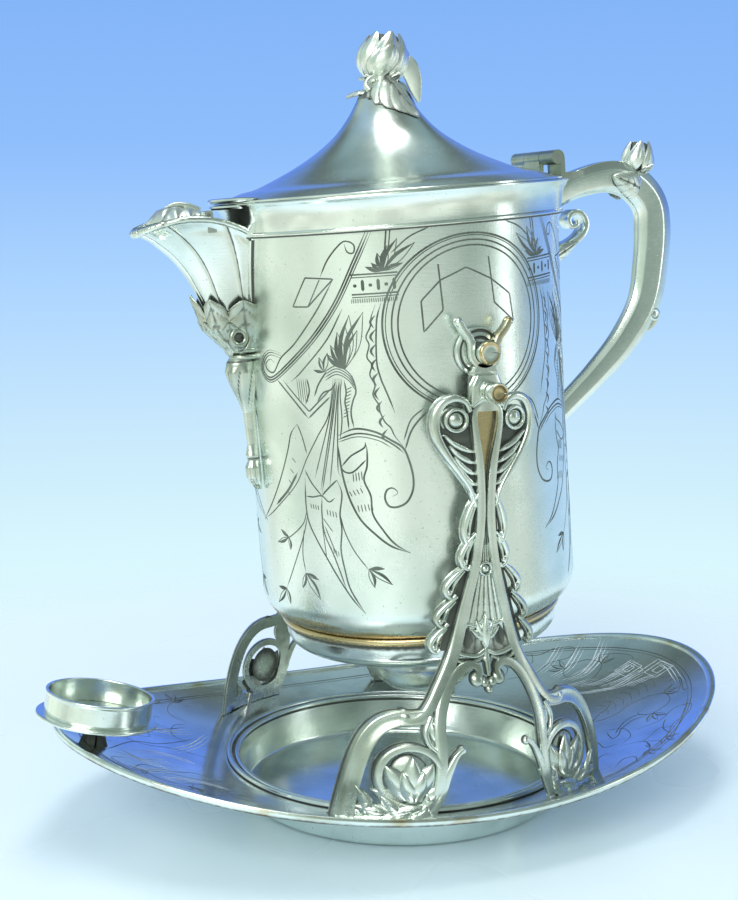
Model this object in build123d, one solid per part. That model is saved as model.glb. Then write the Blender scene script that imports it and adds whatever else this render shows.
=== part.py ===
from build123d import *
import math
import os

# Tilting ice-water pitcher on a boat-shaped tray, in millimetres.
# The origin is the centre of the tray's flat bottom on the table, +Z up.
# +X points at the handle, -X at the spout and the goblet ring, -Y at the front standard.

os.makedirs("parts", exist_ok=True)

# Tray
tray_half_length = 177.0
tray_half_width = 118.5
dish_radius = 372.0
dish_low = 8.6
flange_sheet = 1.4
bead_width = 4.6
bead_round = 1.5
well_radius = 86.0
well_floor_radius = 81.5
well_corner = 4.0
pan_sheet = 1.4
lip_width = 6.4
lip_bead = 1.3
solder_film = 0.05

# Goblet ring
goblet_offset = 159.5
goblet_rise = 58.0
goblet_lean = 10.0
goblet_plate_radius = 29.0
goblet_plate_sheet = 1.6
goblet_ring_radius = 25.7
goblet_ring_height = 11.0
goblet_ring_wall = 1.4
goblet_post_radius = 9.0

# Standards
foot_ring_radius = 104.6
head_ring_radius = 89.6
foot_zone_top = 32.0
head_zone_bottom = 118.0
web_thickness = 2.6
rail_thickness = 5.4
rail_width = 4.2
foot_arch_width = 7.6
inner_arch_width = 5.0
standard_half_span = 70.0
head_half_width = 8.4
head_low = 205.0
head_high = 223.5
pinch_height = 166.0
crossbar_height = 97.5
crossbar_half_width = 18.0
arch_half_width = 26.2
arch_top = 91.5
ring_offset = 38.5
ring_height = 43.6
ring_outer_radius = 15.2
ring_band = 3.4
ear_offset = 15.6
ear_radius = 9.4
ear_eye_radius = 3.2
foot_screw_radius = 1.6
foot_screw_head_radius = 3.0
foot_screw_head_height = 1.8
foot_screw_depth = 7.0

# Forks and trunnions
pivot_height = 233.7
trunnion_neck_radius = 4.2
trunnion_running_fit = 0.06
trunnion_knob_radius = 5.5
trunnion_knob_length = 4.4
trunnion_spigot_radius = 3.0
trunnion_spigot_length = 7.0
disc_radius = 11.5
disc_face = 83.6
disc_groove = 0.8
side_play = 0.5
fork_depth = 5.0
fork_prong = 3.8
fork_height = 14.6
fork_flare = 6.0
bolt_height = 216.4
bolt_shank_radius = 2.4
bolt_head_radius = 4.8
bolt_head_end = 102.6
bolt_dish = 1.2

# Pitcher body
rest_tilt = 4.8
body_radius = 80.0
body_top_radius = 82.0
body_waist_radius = 79.9
shoulder_height = 112.0
shoulder_low = 99.5
body_sheet = 1.1
base_band_radius = 71.8
base_band_low = 95.5
base_pan_radius = 69.6
base_pan_corner = 88.0
base_pan_center = 72.0
base_sheet = 1.4
knob_radius = 28.6
knob_bottom_radius = 20.5
knob_bottom = 55.0
liner_radius = 72.0
liner_sheet = 1.2
liner_floor = 106.0
collar_low = 290.8
collar_bend = 301.6
collar_top = 307.2
collar_low_radius = 83.3
collar_bend_radius = 84.4
collar_top_radius = 87.6
collar_sheet = 1.5
ledge_height = 303.0
neck_radius = 69.0
beak_reach = 94.0
beak_spread = 25.0
beak_sheet = 2.6

# Spout
spout_root = 78.0
spout_low = 255.0
spout_reach_low = 22.5
spout_reach_high = 66.0
spout_half_width_low = 8.6
spout_half_width_high = 20.5
spout_high = 303.0
spout_sheet = 1.8
mouth_tip_offset = 137.5
mouth_tip_height = 294.0
mouth_peak_height = 301.8
mouth_peak_offset = 112.0
mouth_root_height = 290.0
throat_height = 274.5
throat_half_width = 8.5
throat_half_height = 10.5
throat_wall = 1.2
guard_sheet = 1.2
guard_hole_radius = 1.6
guard_hole_pitch = 4.6
flap_pin_offset = 98.6
flap_pin_height = 303.2
flap_pin_radius = 0.9
flap_lug_radius = 2.2
flap_pin_half_length = 13.4
flap_running_fit = 0.06
flap_barrel_radius = 2.0
flap_barrel_half_length = 10.6
flap_end_play = 0.3
flap_reach = 27.0
flap_half_width = 12.5
flap_neck_half_width = 8.8
flap_sheet = 2.4
flap_crown = 5.4
calyx_top = 263.0
calyx_neck = 236.0
calyx_reach = 26.5
calyx_half_width = 11.5
neck_reach = 12.6
neck_half_width = 4.6
bulb_reach = 15.0
bulb_half_width = 6.6
bulb_height = 228.0
stem_reach = 8.2
stem_half_width = 2.2
stem_low = 190.0
drop_reach = 9.8
drop_half_width = 3.8
drop_height = 183.0
drop_tip = 169.5
eye_radius = 3.4
eye_height = 245.2

# Handle
handle_top_root = 288.5
handle_low_root = 172.0
handle_crown_offset = 124.0
handle_crown_height = 306.0
handle_shoulder_offset = 146.0
handle_shoulder_height = 298.2
handle_back_offset = 153.6
handle_back_height = 280.0
handle_turn_offset = 146.0
handle_turn_height = 238.0
handle_low_offset = 113.0
handle_low_height = 202.5
handle_depth_root = 11.0
handle_depth_crown = 16.5
handle_depth_back = 21.0
handle_depth_low = 9.5
handle_width_top = 13.0
handle_width_low = 8.0
handle_wall = 1.6
top_scroll_radius = 7.0
top_scroll_offset = 106.0
top_scroll_height = 284.0
low_scroll_radius = 3.6
low_scroll_offset = 150.5
low_scroll_height = 231.0
bud_radius = 8.8
bud_height = 16.0
bud_offset = 147.5
bud_seat = 307.0
handle_leaf_length = 20.0
handle_leaf_width = 13.0
handle_leaf_thickness = 2.2

# Lid and its hinge
lid_gap = 0.5
lid_side_play = 0.35
lid_edge_radius = 84.0
lid_edge_top = 307.9
lid_sheet = 1.1
lid_brim_radius = 64.0
lid_brim_height = 314.0
lid_cone_top = 353.0
lid_cone_top_radius = 12.5
lining_radius = 66.0
lining_depth = 5.5
lining_sheet = 0.8
hinge_offset = 84.6
hinge_height = 318.0
hinge_barrel_radius = 3.6
hinge_pin_radius = 1.4
hinge_running_fit = 0.05
hinge_half_length = 21.0
lid_knuckle_half_length = 7.5
hinge_end_play = 0.3
hinge_plate_inner = 86.0
hinge_plate_outer = 99.0
hinge_plate_sheet = 3.0
hinge_leg = 2.4
lid_leaf_length = 18.0
lid_leaf_sheet = 1.6
finial_seat = 352.0
finial_collar_radius = 12.5
finial_collar_height = 9.0
finial_leaf_length = 24.0
finial_leaf_width = 17.0
finial_leaf_thickness = 2.4
finial_leaf_count = 5
finial_bud_radius = 12.0
finial_bud_height = 23.5
finial_bud_lean = 8.0
stud_radius = 2.0
nut_radius = 5.0
nut_height = 3.0

# Derived places
lid_low = ledge_height + lid_gap
fork_inner_face = disc_face + side_play
fork_outer_face = fork_inner_face + fork_depth
knob_inner_face = fork_outer_face + side_play
finial_top = finial_seat + finial_collar_height


def turned(points):
    """Solid of revolution about Z from an XZ outline, given as a list of edges."""
    return revolve(Plane.XZ * make_face(Curve() + points), Axis.Z)


def polygon_solid(*corners):
    """Solid of revolution about Z from the straight-sided XZ outline through the corners."""
    return turned([Polyline(*corners, close=True)])


def along_y(radius, start, end, x=0.0, z=0.0):
    """Cylinder along Y between two Y values."""
    middle = (start + end) / 2
    return Pos(x, middle, z) * Rot(90, 0, 0) * Cylinder(radius, abs(end - start))


def upright(face, depth):
    """Solid from an XZ outline drawn on the XY plane, spread evenly to both sides in Y."""
    return Rot(90, 0, 0) * extrude(face, depth / 2, both=True)


def ribbon(points, start_width, end_width, tangents=None):
    """Flat band of tapering width along a smooth line through the points."""
    path = Spline(*points, tangents=tangents) if tangents else Spline(*points)
    steps = 2 * len(points) + 2
    left = []
    right = []
    for i in range(steps + 1):
        t = i / steps
        half = (start_width + (end_width - start_width) * t) / 2
        place = path @ t
        way = path % t
        side = Vector(-way.Y, way.X, 0)
        left.append(place + side * half)
        right.append(place - side * half)
    edges = [Spline(*left), Line(left[-1], right[-1]), Spline(*right[::-1]), Line(right[0], left[0])]
    return make_face(Curve() + edges)


def leaf_solid(length, width, thickness):
    """Pointed leaf lying along +X from the origin, its thickness up from Z = 0."""
    edges = [
        ThreePointArc((0, 0), (length * 0.45, width / 2), (length, 0)),
        ThreePointArc((length, 0), (length * 0.45, -width / 2), (0, 0)),
    ]
    return extrude(make_face(Curve() + edges), thickness)


def half_ellipse_loft(stations, margin=0.0):
    """Loft through flat ellipses centred on the spout's root, each given as height, reach, half width."""
    sections = []
    for height, reach, half_width in stations:
        outline = Ellipse(reach - margin, half_width - margin)
        sections.append(Pos(-spout_root, 0, height) * outline)
    return loft(sections)


def dish_shell(below, above):
    """Part of the tray's dish between two distances below and above its middle surface."""
    center = Pos(0, 0, dish_low + dish_radius)
    outer = center * Sphere(dish_radius + below)
    inner = center * Sphere(dish_radius - above)
    reach = tray_half_length + 2 * bead_width
    return (outer - inner) & (Pos(0, 0, dish_radius / 4) * Cylinder(reach, dish_radius / 2))


def oval_prism(margin):
    """Tall prism on the tray's oval outline, larger or smaller by the margin."""
    outline = Ellipse(tray_half_length + margin, tray_half_width + margin)
    return extrude(outline, dish_radius / 2)


def dish_height(radius):
    """Height of the dish's middle surface at a distance from the centre."""
    return dish_low + dish_radius - math.sqrt(dish_radius ** 2 - radius ** 2)


def tray_flange():
    """Oval dished plate with the round hole of the well."""
    half = flange_sheet / 2
    plate = dish_shell(half, half) & oval_prism(-bead_width / 2)
    return plate - Cylinder(well_radius - pan_sheet, dish_radius)


def tray_bead():
    """Rolled wire that follows the oval edge, its corners rounded."""
    half = bead_width / 2
    ring = oval_prism(half) - oval_prism(-half)
    bead = dish_shell(half, half) & ring
    return fillet(bead.edges(), bead_round)


def well_pan():
    """Round drip pan: flat bottom, sloping wall, its rim under the flange."""
    top = dish_height(well_radius) + flange_sheet
    floor = pan_sheet
    inner_corner = well_corner - pan_sheet
    foot = well_floor_radius - well_corner
    rise = math.sqrt(0.5)
    outline = [
        Line((0, 0), (foot, 0)),
        ThreePointArc(
            (foot, 0),
            (foot + well_corner * rise, well_corner * (1 - rise)),
            (foot + well_corner, well_corner),
        ),
        Line((foot + well_corner, well_corner), (well_radius, top)),
        Line((well_radius, top), (well_radius - pan_sheet, top)),
        Line((well_radius - pan_sheet, top), (foot + inner_corner, well_corner)),
        ThreePointArc(
            (foot + inner_corner, well_corner),
            (foot + inner_corner * rise, well_corner - inner_corner * rise),
            (foot, floor),
        ),
        Line((foot, floor), (0, floor)),
        Line((0, floor), (0, 0)),
    ]
    return turned(outline) - above_flange(-flange_sheet)


def above_flange(lift=0.0):
    """Everything above the flange's upper face, lifted by a distance along its normal."""
    return Pos(0, 0, dish_low + dish_radius) * Sphere(dish_radius - flange_sheet / 2 - lift)


def well_lip():
    """Double bead laid over the joint of the flange and the pan."""
    middle = well_radius - pan_sheet + lip_width / 2 - 1.0
    face = dish_height(middle) + flange_sheet / 2
    band = polygon_solid(
        (middle - lip_width / 2, face - 1.2),
        (middle + lip_width / 2, face - 0.6),
        (middle + lip_width / 2, face + 1.4),
        (middle - lip_width / 2, face + 0.8),
    )
    for side in (-1, 1):
        spot = middle + side * (lip_width / 2 - lip_bead)
        level = dish_height(spot) + flange_sheet / 2 + lip_bead
        band += Pos(0, 0, level) * Torus(spot, lip_bead)
    cut = oval_prism(0) - above_flange(solder_film)
    inner = Cylinder(well_radius - pan_sheet - solder_film, dish_radius)
    return band - (cut - inner) - well_pan()


def goblet_place():
    """Location of the underside of the goblet plate, leaning in towards the pitcher."""
    return Pos(-goblet_offset, 0, goblet_rise) * Rot(0, goblet_lean, 0)


def goblet_plate():
    """Round plate with a softened edge."""
    disc = extrude(Circle(goblet_plate_radius), goblet_plate_sheet)
    disc = fillet(disc.edges(), goblet_plate_sheet * 0.45)
    return goblet_place() * disc


def goblet_ring():
    """Upright ring that stands on the plate, with a rolled top edge."""
    inner = goblet_ring_radius - goblet_ring_wall
    wall = extrude(Circle(goblet_ring_radius) - Circle(inner), goblet_ring_height)
    wall = fillet(wall.edges().group_by(Axis.Z)[-1], goblet_ring_wall * 0.45)
    return goblet_place() * Pos(0, 0, goblet_plate_sheet) * wall


def goblet_post():
    """Waisted post from the flange up to the plate."""
    length = goblet_rise - dish_height(goblet_offset) + goblet_post_radius
    waist = goblet_post_radius * 0.6
    outline = [
        Line((0, 0), (goblet_post_radius, 0)),
        ThreePointArc((goblet_post_radius, 0), (waist, -length * 0.35), (waist, -length)),
        Line((waist, -length), (0, -length)),
        Line((0, -length), (0, 0)),
    ]
    post = goblet_place() * turned(outline)
    return post & above_flange()


def standard_slab(inner, outer):
    """Upright wall that follows the standard's bend, between two offsets from its middle."""
    def side(offset):
        low = foot_ring_radius + offset
        high = head_ring_radius + offset
        reach = (head_zone_bottom - foot_zone_top) * 0.45
        curve = Bezier(
            (low, foot_zone_top),
            (low, foot_zone_top + reach),
            (high, head_zone_bottom - reach),
            (high, head_zone_bottom),
        )
        return low, high, curve

    low_in, high_in, curve_in = side(inner)
    low_out, high_out, curve_out = side(outer)
    floor = dish_low
    top = head_high + fork_height
    outline = [
        Line((low_in, floor), (low_in, foot_zone_top)),
        curve_in,
        Line((high_in, head_zone_bottom), (high_in, top)),
        Line((high_in, top), (high_out, top)),
        Line((high_out, top), (high_out, head_zone_bottom)),
        curve_out,
        Line((low_out, foot_zone_top), (low_out, floor)),
        Line((low_out, floor), (low_in, floor)),
    ]
    wall = turned(outline)
    half = foot_ring_radius + 20
    return wall & (Pos(0, -half, half * 1.5) * Box(2 * half, 2 * half, 3 * half))


def rail_faces():
    """Raised members of the right half of a standard, drawn in the XZ plane."""
    half = rail_width / 2
    rail = ribbon(
        [
            (head_half_width - half, head_high - 8),
            (head_half_width - half - 0.6, head_low - 4),
            (half + 0.5, pinch_height + 10),
            (half + 0.4, pinch_height - 8),
            (9.6, 119.5),
            (crossbar_half_width - half, crossbar_height),
            (24.8, 81.0),
            (32.0, 71.5),
        ],
        rail_width,
        rail_width + 1.6,
    )
    outer_arch = ribbon(
        [
            (31.0, 69.5),
            (44.5, 70.5),
            (56.0, 61.5),
            (63.0, 46.0),
            (67.0, 32.0),
            (standard_half_span - 1.6, 20.0),
        ],
        foot_arch_width - 1.4,
        foot_arch_width,
    )
    inner_arch = ribbon(
        [
            (3.2, arch_top - 2.4),
            (8.5, arch_top),
            (16.6, arch_top - 4.6),
            (23.0, arch_top - 14.0),
            (arch_half_width, arch_top - 26.0),
            (arch_half_width - 0.4, arch_top - 40.0),
            (27.6, 38.0),
            (36.0, 24.0),
        ],
        inner_arch_width - 0.6,
        inner_arch_width,
    )
    ring = Circle(ring_outer_radius) - Circle(ring_outer_radius - ring_band)
    ring = Pos(ring_offset + 1.6, ring_height) * ring
    ear = Pos(ear_offset, head_low - 0.5) * (Circle(ear_radius) - Circle(ear_eye_radius))
    hook = ribbon([(26.0, 40.0), (22.0, 48.0), (17.6, 54.6)], 4.0, 1.6)
    return [rail, outer_arch, inner_arch, ring, ear, hook]


def web_faces():
    """Thin members of the right half of a standard, drawn in the XZ plane."""
    palmette = make_face(
        Polyline(
            (0, pinch_height + 6),
            (2.4, pinch_height - 8),
            (9.6, 119.5),
            (crossbar_half_width - 2, crossbar_height),
            (0, crossbar_height),
            close=True,
        )
    )
    window = Pos(8.6, crossbar_height + 6.0) * Ellipse(4.6, 3.6)
    crossbar = Pos(crossbar_half_width / 2, crossbar_height - 2.0) * Rectangle(crossbar_half_width, 5.0)
    head = make_face(
        Polyline(
            (0, head_high),
            (head_half_width - 2.5, head_high),
            (head_half_width, head_high - 6),
            (head_half_width - 0.6, head_low - 4),
            (3.0, pinch_height + 10),
            (0, pinch_height),
            close=True,
        )
    )
    fluting = make_face(
        Polyline(
            (7.0, head_low + 4),
            (ear_offset + ear_radius - 1.0, head_low - 4),
            (ear_offset + ear_radius - 4.5, head_low - 12),
            (9.0, pinch_height + 8),
            (4.0, pinch_height + 8),
            close=True,
        )
    )
    eye = Pos(ear_offset, head_low - 0.5) * Circle(ear_eye_radius)
    trim = ribbon(
        [(5.6, 172.0), (7.6, 155.0), (9.6, 140.0), (14.0, 124.0), (17.6, 110.0), (19.6, 99.0)],
        3.0,
        5.4,
    )
    buds = [(8.6, 158.0, 2.6), (11.6, 145.0, 3.0), (16.4, 126.5, 3.4), (20.2, 111.0, 3.0)]
    flower = Pos(ring_offset + 1.6, ring_height - 4.0) * Ellipse(8.6, 9.0)
    stalk = Pos(ring_offset + 1.6, ring_height - 11.0) * Rectangle(14.0, 6.0)
    base = make_face(
        Polyline(
            (30.0, dish_low + 4),
            (30.0, 30.0),
            (44.0, 29.0),
            (standard_half_span - 6, 29.0),
            (standard_half_span, dish_low + 4),
            close=True,
        )
    )
    spandrel = ribbon([(27.0, 70.0), (31.0, 64.0), (28.5, 56.0)], 5.0, 3.0)
    faces = [palmette - window, crossbar, head, fluting - eye, trim, flower, stalk, base, spandrel]
    for x, z, radius in buds:
        faces.append(Pos(x, z) * Circle(radius))
    return faces


def both_sides(faces):
    """The faces and their mirror images, joined into one outline."""
    outline = faces[0] + mirror(faces[0], Plane.YZ)
    for face in faces[1:]:
        outline += face
        outline += mirror(face, Plane.YZ)
    return outline


def standing(outline):
    """Prism of an XZ outline that reaches well past the front standard in Y."""
    return Pos(0, -foot_ring_radius, 0) * upright(outline, foot_ring_radius)


def front_standard():
    """Openwork casting: a thin web with raised rails, bent round the well at its feet."""
    web_outline = both_sides(web_faces() + rail_faces())
    rail_outline = both_sides(rail_faces())
    drop = Pos(0, arch_top - 11.5) * Circle(2.2)
    stem = Pos(0, arch_top - 4.0) * Rectangle(3.0, 15.0)
    pearl = Pos(0, 135.0) * Circle(2.0)
    rail_outline = rail_outline + drop + stem + pearl
    half_web = web_thickness / 2
    half_rail = rail_thickness / 2
    web = standing(web_outline + stem) & standard_slab(-half_web, half_web)
    rails = standing(rail_outline) & standard_slab(-half_web, half_rail)
    head_pad = Pos(0, (head_low + head_high) / 2) * Rectangle(2 * head_half_width, head_high - head_low)
    pad = standing(head_pad) & standard_slab(-half_rail, half_rail)
    body = web + rails + pad
    for x in foot_screw_places():
        body += screw_boss(x)
    body &= above_flange()
    body -= along_y(bolt_shank_radius, -head_ring_radius - 9, -head_ring_radius + 9, 0, bolt_height)
    for x in foot_screw_places():
        body -= screw_hole(x)
    return largest(body)


def foot_screw_places():
    """X of the two screws in a standard's feet."""
    return (-52.0, 52.0)


def screw_frame(x):
    """Location on the flange under a foot, its Z along the flange's normal."""
    y = -math.sqrt(foot_ring_radius ** 2 - x ** 2)
    turn = math.degrees(math.atan2(y, x))
    lean = math.degrees(math.asin(foot_ring_radius / dish_radius))
    height = dish_height(foot_ring_radius)
    return Pos(x, y, height) * Rot(0, 0, turn) * Rot(0, -lean, 0)


def screw_boss(x):
    """Pad in a foot that the screw bites into."""
    reach = foot_screw_depth + 1.5
    return screw_frame(x) * Pos(0, 0, reach / 2) * Cylinder(foot_screw_radius + 1.8, reach)


def screw_hole(x):
    """Hole in a foot for its screw."""
    return screw_frame(x) * Cylinder(foot_screw_radius, 2 * (foot_screw_depth + flange_sheet / 2))


def foot_screw(x):
    """Round-headed screw from under the flange into a foot."""
    half = flange_sheet / 2
    length = foot_screw_depth + 2 * half
    shank = Pos(0, 0, length / 2 - half) * Cylinder(foot_screw_radius, length)
    head_low = -half - foot_screw_head_height
    head = Pos(0, 0, (head_low - half) / 2) * Cylinder(foot_screw_head_radius, foot_screw_head_height)
    slot = Pos(0, 0, head_low) * Box(2 * foot_screw_head_radius, 0.8, 1.2)
    return screw_frame(x) * (shank + head - slot)


def largest(shape):
    """The largest solid of a shape, without loose crumbs of the cuts."""
    return shape.solids().sort_by(SortBy.VOLUME)[-1]


def front_fork():
    """Cast fork with flared prongs and a tang behind the standard's head."""
    inner = trunnion_neck_radius + trunnion_running_fit
    outer = inner + fork_prong
    cup = Circle(outer) - Circle(inner) - Pos(0, outer) * Rectangle(2 * inner, 2 * outer)
    prong = ribbon(
        [
            (inner + fork_prong / 2, -0.5),
            (inner + fork_prong / 2 + 0.4, fork_height * 0.4),
            (inner + fork_prong / 2 + fork_flare, fork_height),
        ],
        fork_prong,
        fork_prong * 0.75,
    )
    tip = Pos(inner + fork_prong / 2 + fork_flare, fork_height) * Circle(fork_prong * 0.55)
    side = prong + tip - Pos(0, fork_height / 2) * Rectangle(2 * inner, 2 * fork_height)
    outline = cup + side + mirror(side, Plane.YZ)
    tang_low = bolt_height - bolt_shank_radius - 4 - pivot_height
    tang_high = -inner - 0.6
    tang = Pos(0, (tang_low + tang_high) / 2) * Rectangle(2 * head_half_width - 4, tang_high - tang_low)
    place = Pos(0, -(fork_inner_face + fork_depth / 2), pivot_height)
    body = place * upright(outline, fork_depth)
    tang_depth = head_ring_radius - rail_thickness / 2 - fork_inner_face
    tang_place = Pos(0, -(fork_inner_face + tang_depth / 2), pivot_height)
    tang_body = tang_place * upright(tang, tang_depth)
    neck_reach_down = head_high - pivot_height
    neck = Pos(0, (neck_reach_down + tang_high) / 2) * Rectangle(
        2 * head_half_width - 4, tang_high - neck_reach_down
    )
    neck_body = place * upright(neck, fork_depth)
    whole = body + tang_body + neck_body
    whole -= along_y(bolt_shank_radius, -fork_outer_face, -fork_inner_face + 1, 0, bolt_height)
    return whole - front_head_block()


def front_head_block():
    """Space that the standard's head takes up, for seating the fork against it."""
    pad = Pos(0, (head_low + head_high) / 2) * Rectangle(2 * head_half_width, head_high - head_low)
    return standing(pad) & standard_slab(-rail_thickness / 2, rail_thickness / 2)


def front_fork_bolt():
    """Stud through the head with a long round head, hollow at its end."""
    seat = head_ring_radius + rail_thickness / 2
    inner_end = fork_inner_face + 0.4
    shank = along_y(bolt_shank_radius, -seat - 1, -inner_end, 0, bolt_height)
    head = along_y(bolt_head_radius, -bolt_head_end, -seat, 0, bolt_height)
    hollow = along_y(bolt_head_radius - 1.4, -bolt_head_end, -bolt_head_end + bolt_dish, 0, bolt_height)
    cut = front_head_block() - along_y(bolt_shank_radius, -seat - 2, -inner_end, 0, bolt_height)
    return head + shank - hollow - cut


def to_rear(shape):
    """The same piece on the rear side, turned half round the vertical axis."""
    return Rot(0, 0, 180) * shape


def body_profile(offset):
    """Edges of the pitcher's outside, moved inwards by an offset, from the bottom edge to the top."""
    low = Vector(base_band_radius - 3, shoulder_low + offset)
    corner_start = Vector(base_band_radius - 1.5, shoulder_low + offset)
    corner_end = Vector(body_radius - offset, shoulder_height + 4)
    mid = Vector(body_radius - 3.0 - offset * 0.8, shoulder_low + 5.6 + offset * 0.5)
    waist = Vector(body_waist_radius - offset, (shoulder_height + collar_low) / 2)
    top = Vector(body_top_radius - offset, ledge_height - collar_sheet)
    return [
        Line(low, corner_start),
        ThreePointArc(corner_start, mid, corner_end),
        ThreePointArc(corner_end, waist, top),
    ]


def body_block():
    """Filled outside shape of the pitcher's body, for seating what is soldered to it."""
    outside = body_profile(0)
    start = outside[0] @ 0
    end = outside[-1] @ 1
    outline = outside + [
        Line(end, (0, end.Y)),
        Line((0, end.Y), (0, start.Y)),
        Line((0, start.Y), start),
    ]
    return turned(outline)


def throat_outline(margin):
    """Oval bore of the throat as a prism along X, made larger by the margin."""
    oval = Ellipse(throat_half_width + margin, throat_half_height + margin)
    length = spout_root + 30
    return Pos(0, 0, throat_height) * Rot(0, -90, 0) * Rot(0, 0, 90) * extrude(oval, length)


def outer_body():
    """Outer shell with a rounded shoulder, open at the top and at the throat."""
    outside = body_profile(0)
    inside = body_profile(body_sheet)
    outline = outside + inside + [
        Line(outside[0] @ 0, inside[0] @ 0),
        Line(outside[-1] @ 1, inside[-1] @ 1),
    ]
    shell = turned(outline) - throat_outline(throat_wall)
    for side in (-1, 1):
        shell -= along_y(trunnion_spigot_radius, side * 60, side * 90, 0, pivot_height)
    return shell


def liner_block(margin):
    """Filled shape of the liner, made smaller by the margin."""
    radius = liner_radius - margin
    low = liner_floor + margin
    block = Pos(0, 0, (low + ledge_height) / 2) * Cylinder(radius, ledge_height - low)
    return fillet(block.edges().group_by(Axis.Z)[0], 14.0 - margin)


def inner_liner():
    """Enamelled liner, hung from the collar's top plate."""
    cup = liner_block(0) - liner_block(liner_sheet)
    top = ledge_height - collar_sheet
    cup -= Pos(0, 0, top + 10) * Cylinder(liner_radius + 5, 20)
    return cup - throat_outline(throat_wall)


def spout_throat():
    """Oval sleeve that joins the liner to the spout across the air gap."""
    sleeve = throat_outline(throat_wall) - throat_outline(0)
    inner = Pos(0, 0, throat_height) * Cylinder(liner_radius - liner_sheet, 6 * throat_half_height)
    return (sleeve & body_block()) - inner


def ice_guard():
    """Perforated plate at the inner end of the throat."""
    face = liner_radius - guard_sheet
    plate = throat_outline(0) & (Pos(-face, 0, throat_height) * Box(guard_sheet, 60, 60))
    rows = int(throat_half_height / guard_hole_pitch)
    columns = int(throat_half_width / guard_hole_pitch)
    for row in range(-rows, rows + 1):
        for column in range(-columns, columns + 1):
            y = column * guard_hole_pitch
            z = throat_height + row * guard_hole_pitch
            reach = math.hypot(y / (throat_half_width - 2.4), (z - throat_height) / (throat_half_height - 2.4))
            if reach < 1:
                hole = Rot(0, 90, 0) * Cylinder(guard_hole_radius, 10)
                plate -= Pos(-face, y, z) * hole
    return plate


def beak(margin, low, high):
    """Pointed shelf over the spout between two heights, its edge drawn in by the margin."""
    reach = beak_reach - margin
    spread = beak_spread - margin
    root = lid_edge_radius * 0.8
    plan = [
        Line((-root, -spread), (-root, spread)),
        ThreePointArc((-root, spread), (-(root * 0.3 + reach * 0.7), spread * 0.72), (-reach, 0)),
        ThreePointArc((-reach, 0), (-(root * 0.3 + reach * 0.7), -spread * 0.72), (-root, -spread)),
    ]
    return Pos(0, 0, low) * extrude(make_face(Curve() + plan), high - low)


def collar_outside():
    """Corners of the collar's outer face, from its lower edge to its lip."""
    return [
        (collar_low_radius, collar_low),
        (collar_bend_radius, collar_bend),
        (collar_top_radius, collar_top),
    ]


def collar_block():
    """Filled shape of the collar with its beak, for what is soldered against it."""
    block = polygon_solid((0, collar_low), *collar_outside(), (0, collar_top))
    return block + beak(0.6, collar_top - beak_sheet, collar_top)


def rim_band():
    """Flared collar with a lip and a beak, and the ledge that carries the liner and the lid."""
    lip_inner = collar_top_radius - collar_sheet
    well = polygon_solid(
        (0, ledge_height),
        (lid_edge_radius + lid_side_play, ledge_height),
        (lip_inner, collar_top),
        (lip_inner, collar_top + 1),
        (0, collar_top + 1),
    )
    neck = Pos(0, 0, collar_top) * Cylinder(neck_radius, 40)
    below = Pos(0, 0, ledge_height - collar_sheet - 10) * Cylinder(body_waist_radius - 1, 20)
    return collar_block() - well - neck - below - body_block()


def base_band():
    """Worn step ring between the shoulder and the bottom cover."""
    return polygon_solid(
        (base_pan_radius - base_sheet, shoulder_low),
        (base_band_radius - 1.5, shoulder_low),
        (base_band_radius, shoulder_low - 1.5),
        (base_band_radius, base_band_low + 0.8),
        (base_band_radius - 0.8, base_band_low),
        (base_pan_radius - base_sheet, base_band_low),
    )


def base_pan():
    """Conical bottom cover with a rounded corner."""
    rim = base_band_low
    inner = base_pan_radius - base_sheet
    outline = [
        Line((inner, rim), (base_pan_radius, rim)),
        Line((base_pan_radius, rim), (base_pan_radius, base_pan_corner + 4)),
        ThreePointArc(
            (base_pan_radius, base_pan_corner + 4),
            (base_pan_radius - 2.2, base_pan_corner - 2.0),
            (base_pan_radius - 9, base_pan_corner - 6),
        ),
        Line((base_pan_radius - 9, base_pan_corner - 6), (knob_radius, base_pan_center)),
        Line((knob_radius, base_pan_center), (0, base_pan_center)),
        Line((0, base_pan_center), (0, base_pan_center + base_sheet)),
        Line((0, base_pan_center + base_sheet), (knob_radius, base_pan_center + base_sheet)),
        Line((knob_radius, base_pan_center + base_sheet), (inner - 7.4, base_pan_corner - 4.4)),
        ThreePointArc(
            (inner - 7.4, base_pan_corner - 4.4),
            (inner - 1.6, base_pan_corner - 0.8),
            (inner, base_pan_corner + 4),
        ),
        Line((inner, base_pan_corner + 4), (inner, rim)),
    ]
    return turned(outline)


def base_knob():
    """Heavy bowl-shaped knob that keeps the pitcher hanging upright."""
    outline = [
        Line((0, base_pan_center), (knob_radius, base_pan_center)),
        Line((knob_radius, base_pan_center), (knob_radius, base_pan_center - 2.2)),
        ThreePointArc(
            (knob_radius, base_pan_center - 2.2),
            (knob_radius - 2.6, knob_bottom + 5.6),
            (knob_bottom_radius, knob_bottom + 1.2),
        ),
        Line((knob_bottom_radius, knob_bottom + 1.2), (knob_bottom_radius, knob_bottom)),
        Line((knob_bottom_radius, knob_bottom), (0, knob_bottom)),
        Line((0, knob_bottom), (0, base_pan_center)),
    ]
    return turned(outline)


def spout_stations():
    """Height, reach and half width of the spout's flaring outside."""
    stations = []
    steps = 6
    for i in range(steps + 1):
        t = i / steps
        height = spout_low + (spout_high - spout_low) * t
        flare = 0.42 * t + 0.58 * t ** 4
        reach = spout_reach_low + (spout_reach_high - spout_reach_low) * flare
        widening = 0.7 * t + 0.3 * t ** 3
        half_width = spout_half_width_low + (spout_half_width_high - spout_half_width_low) * widening
        stations.append((height, reach, half_width))
    return stations


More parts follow.
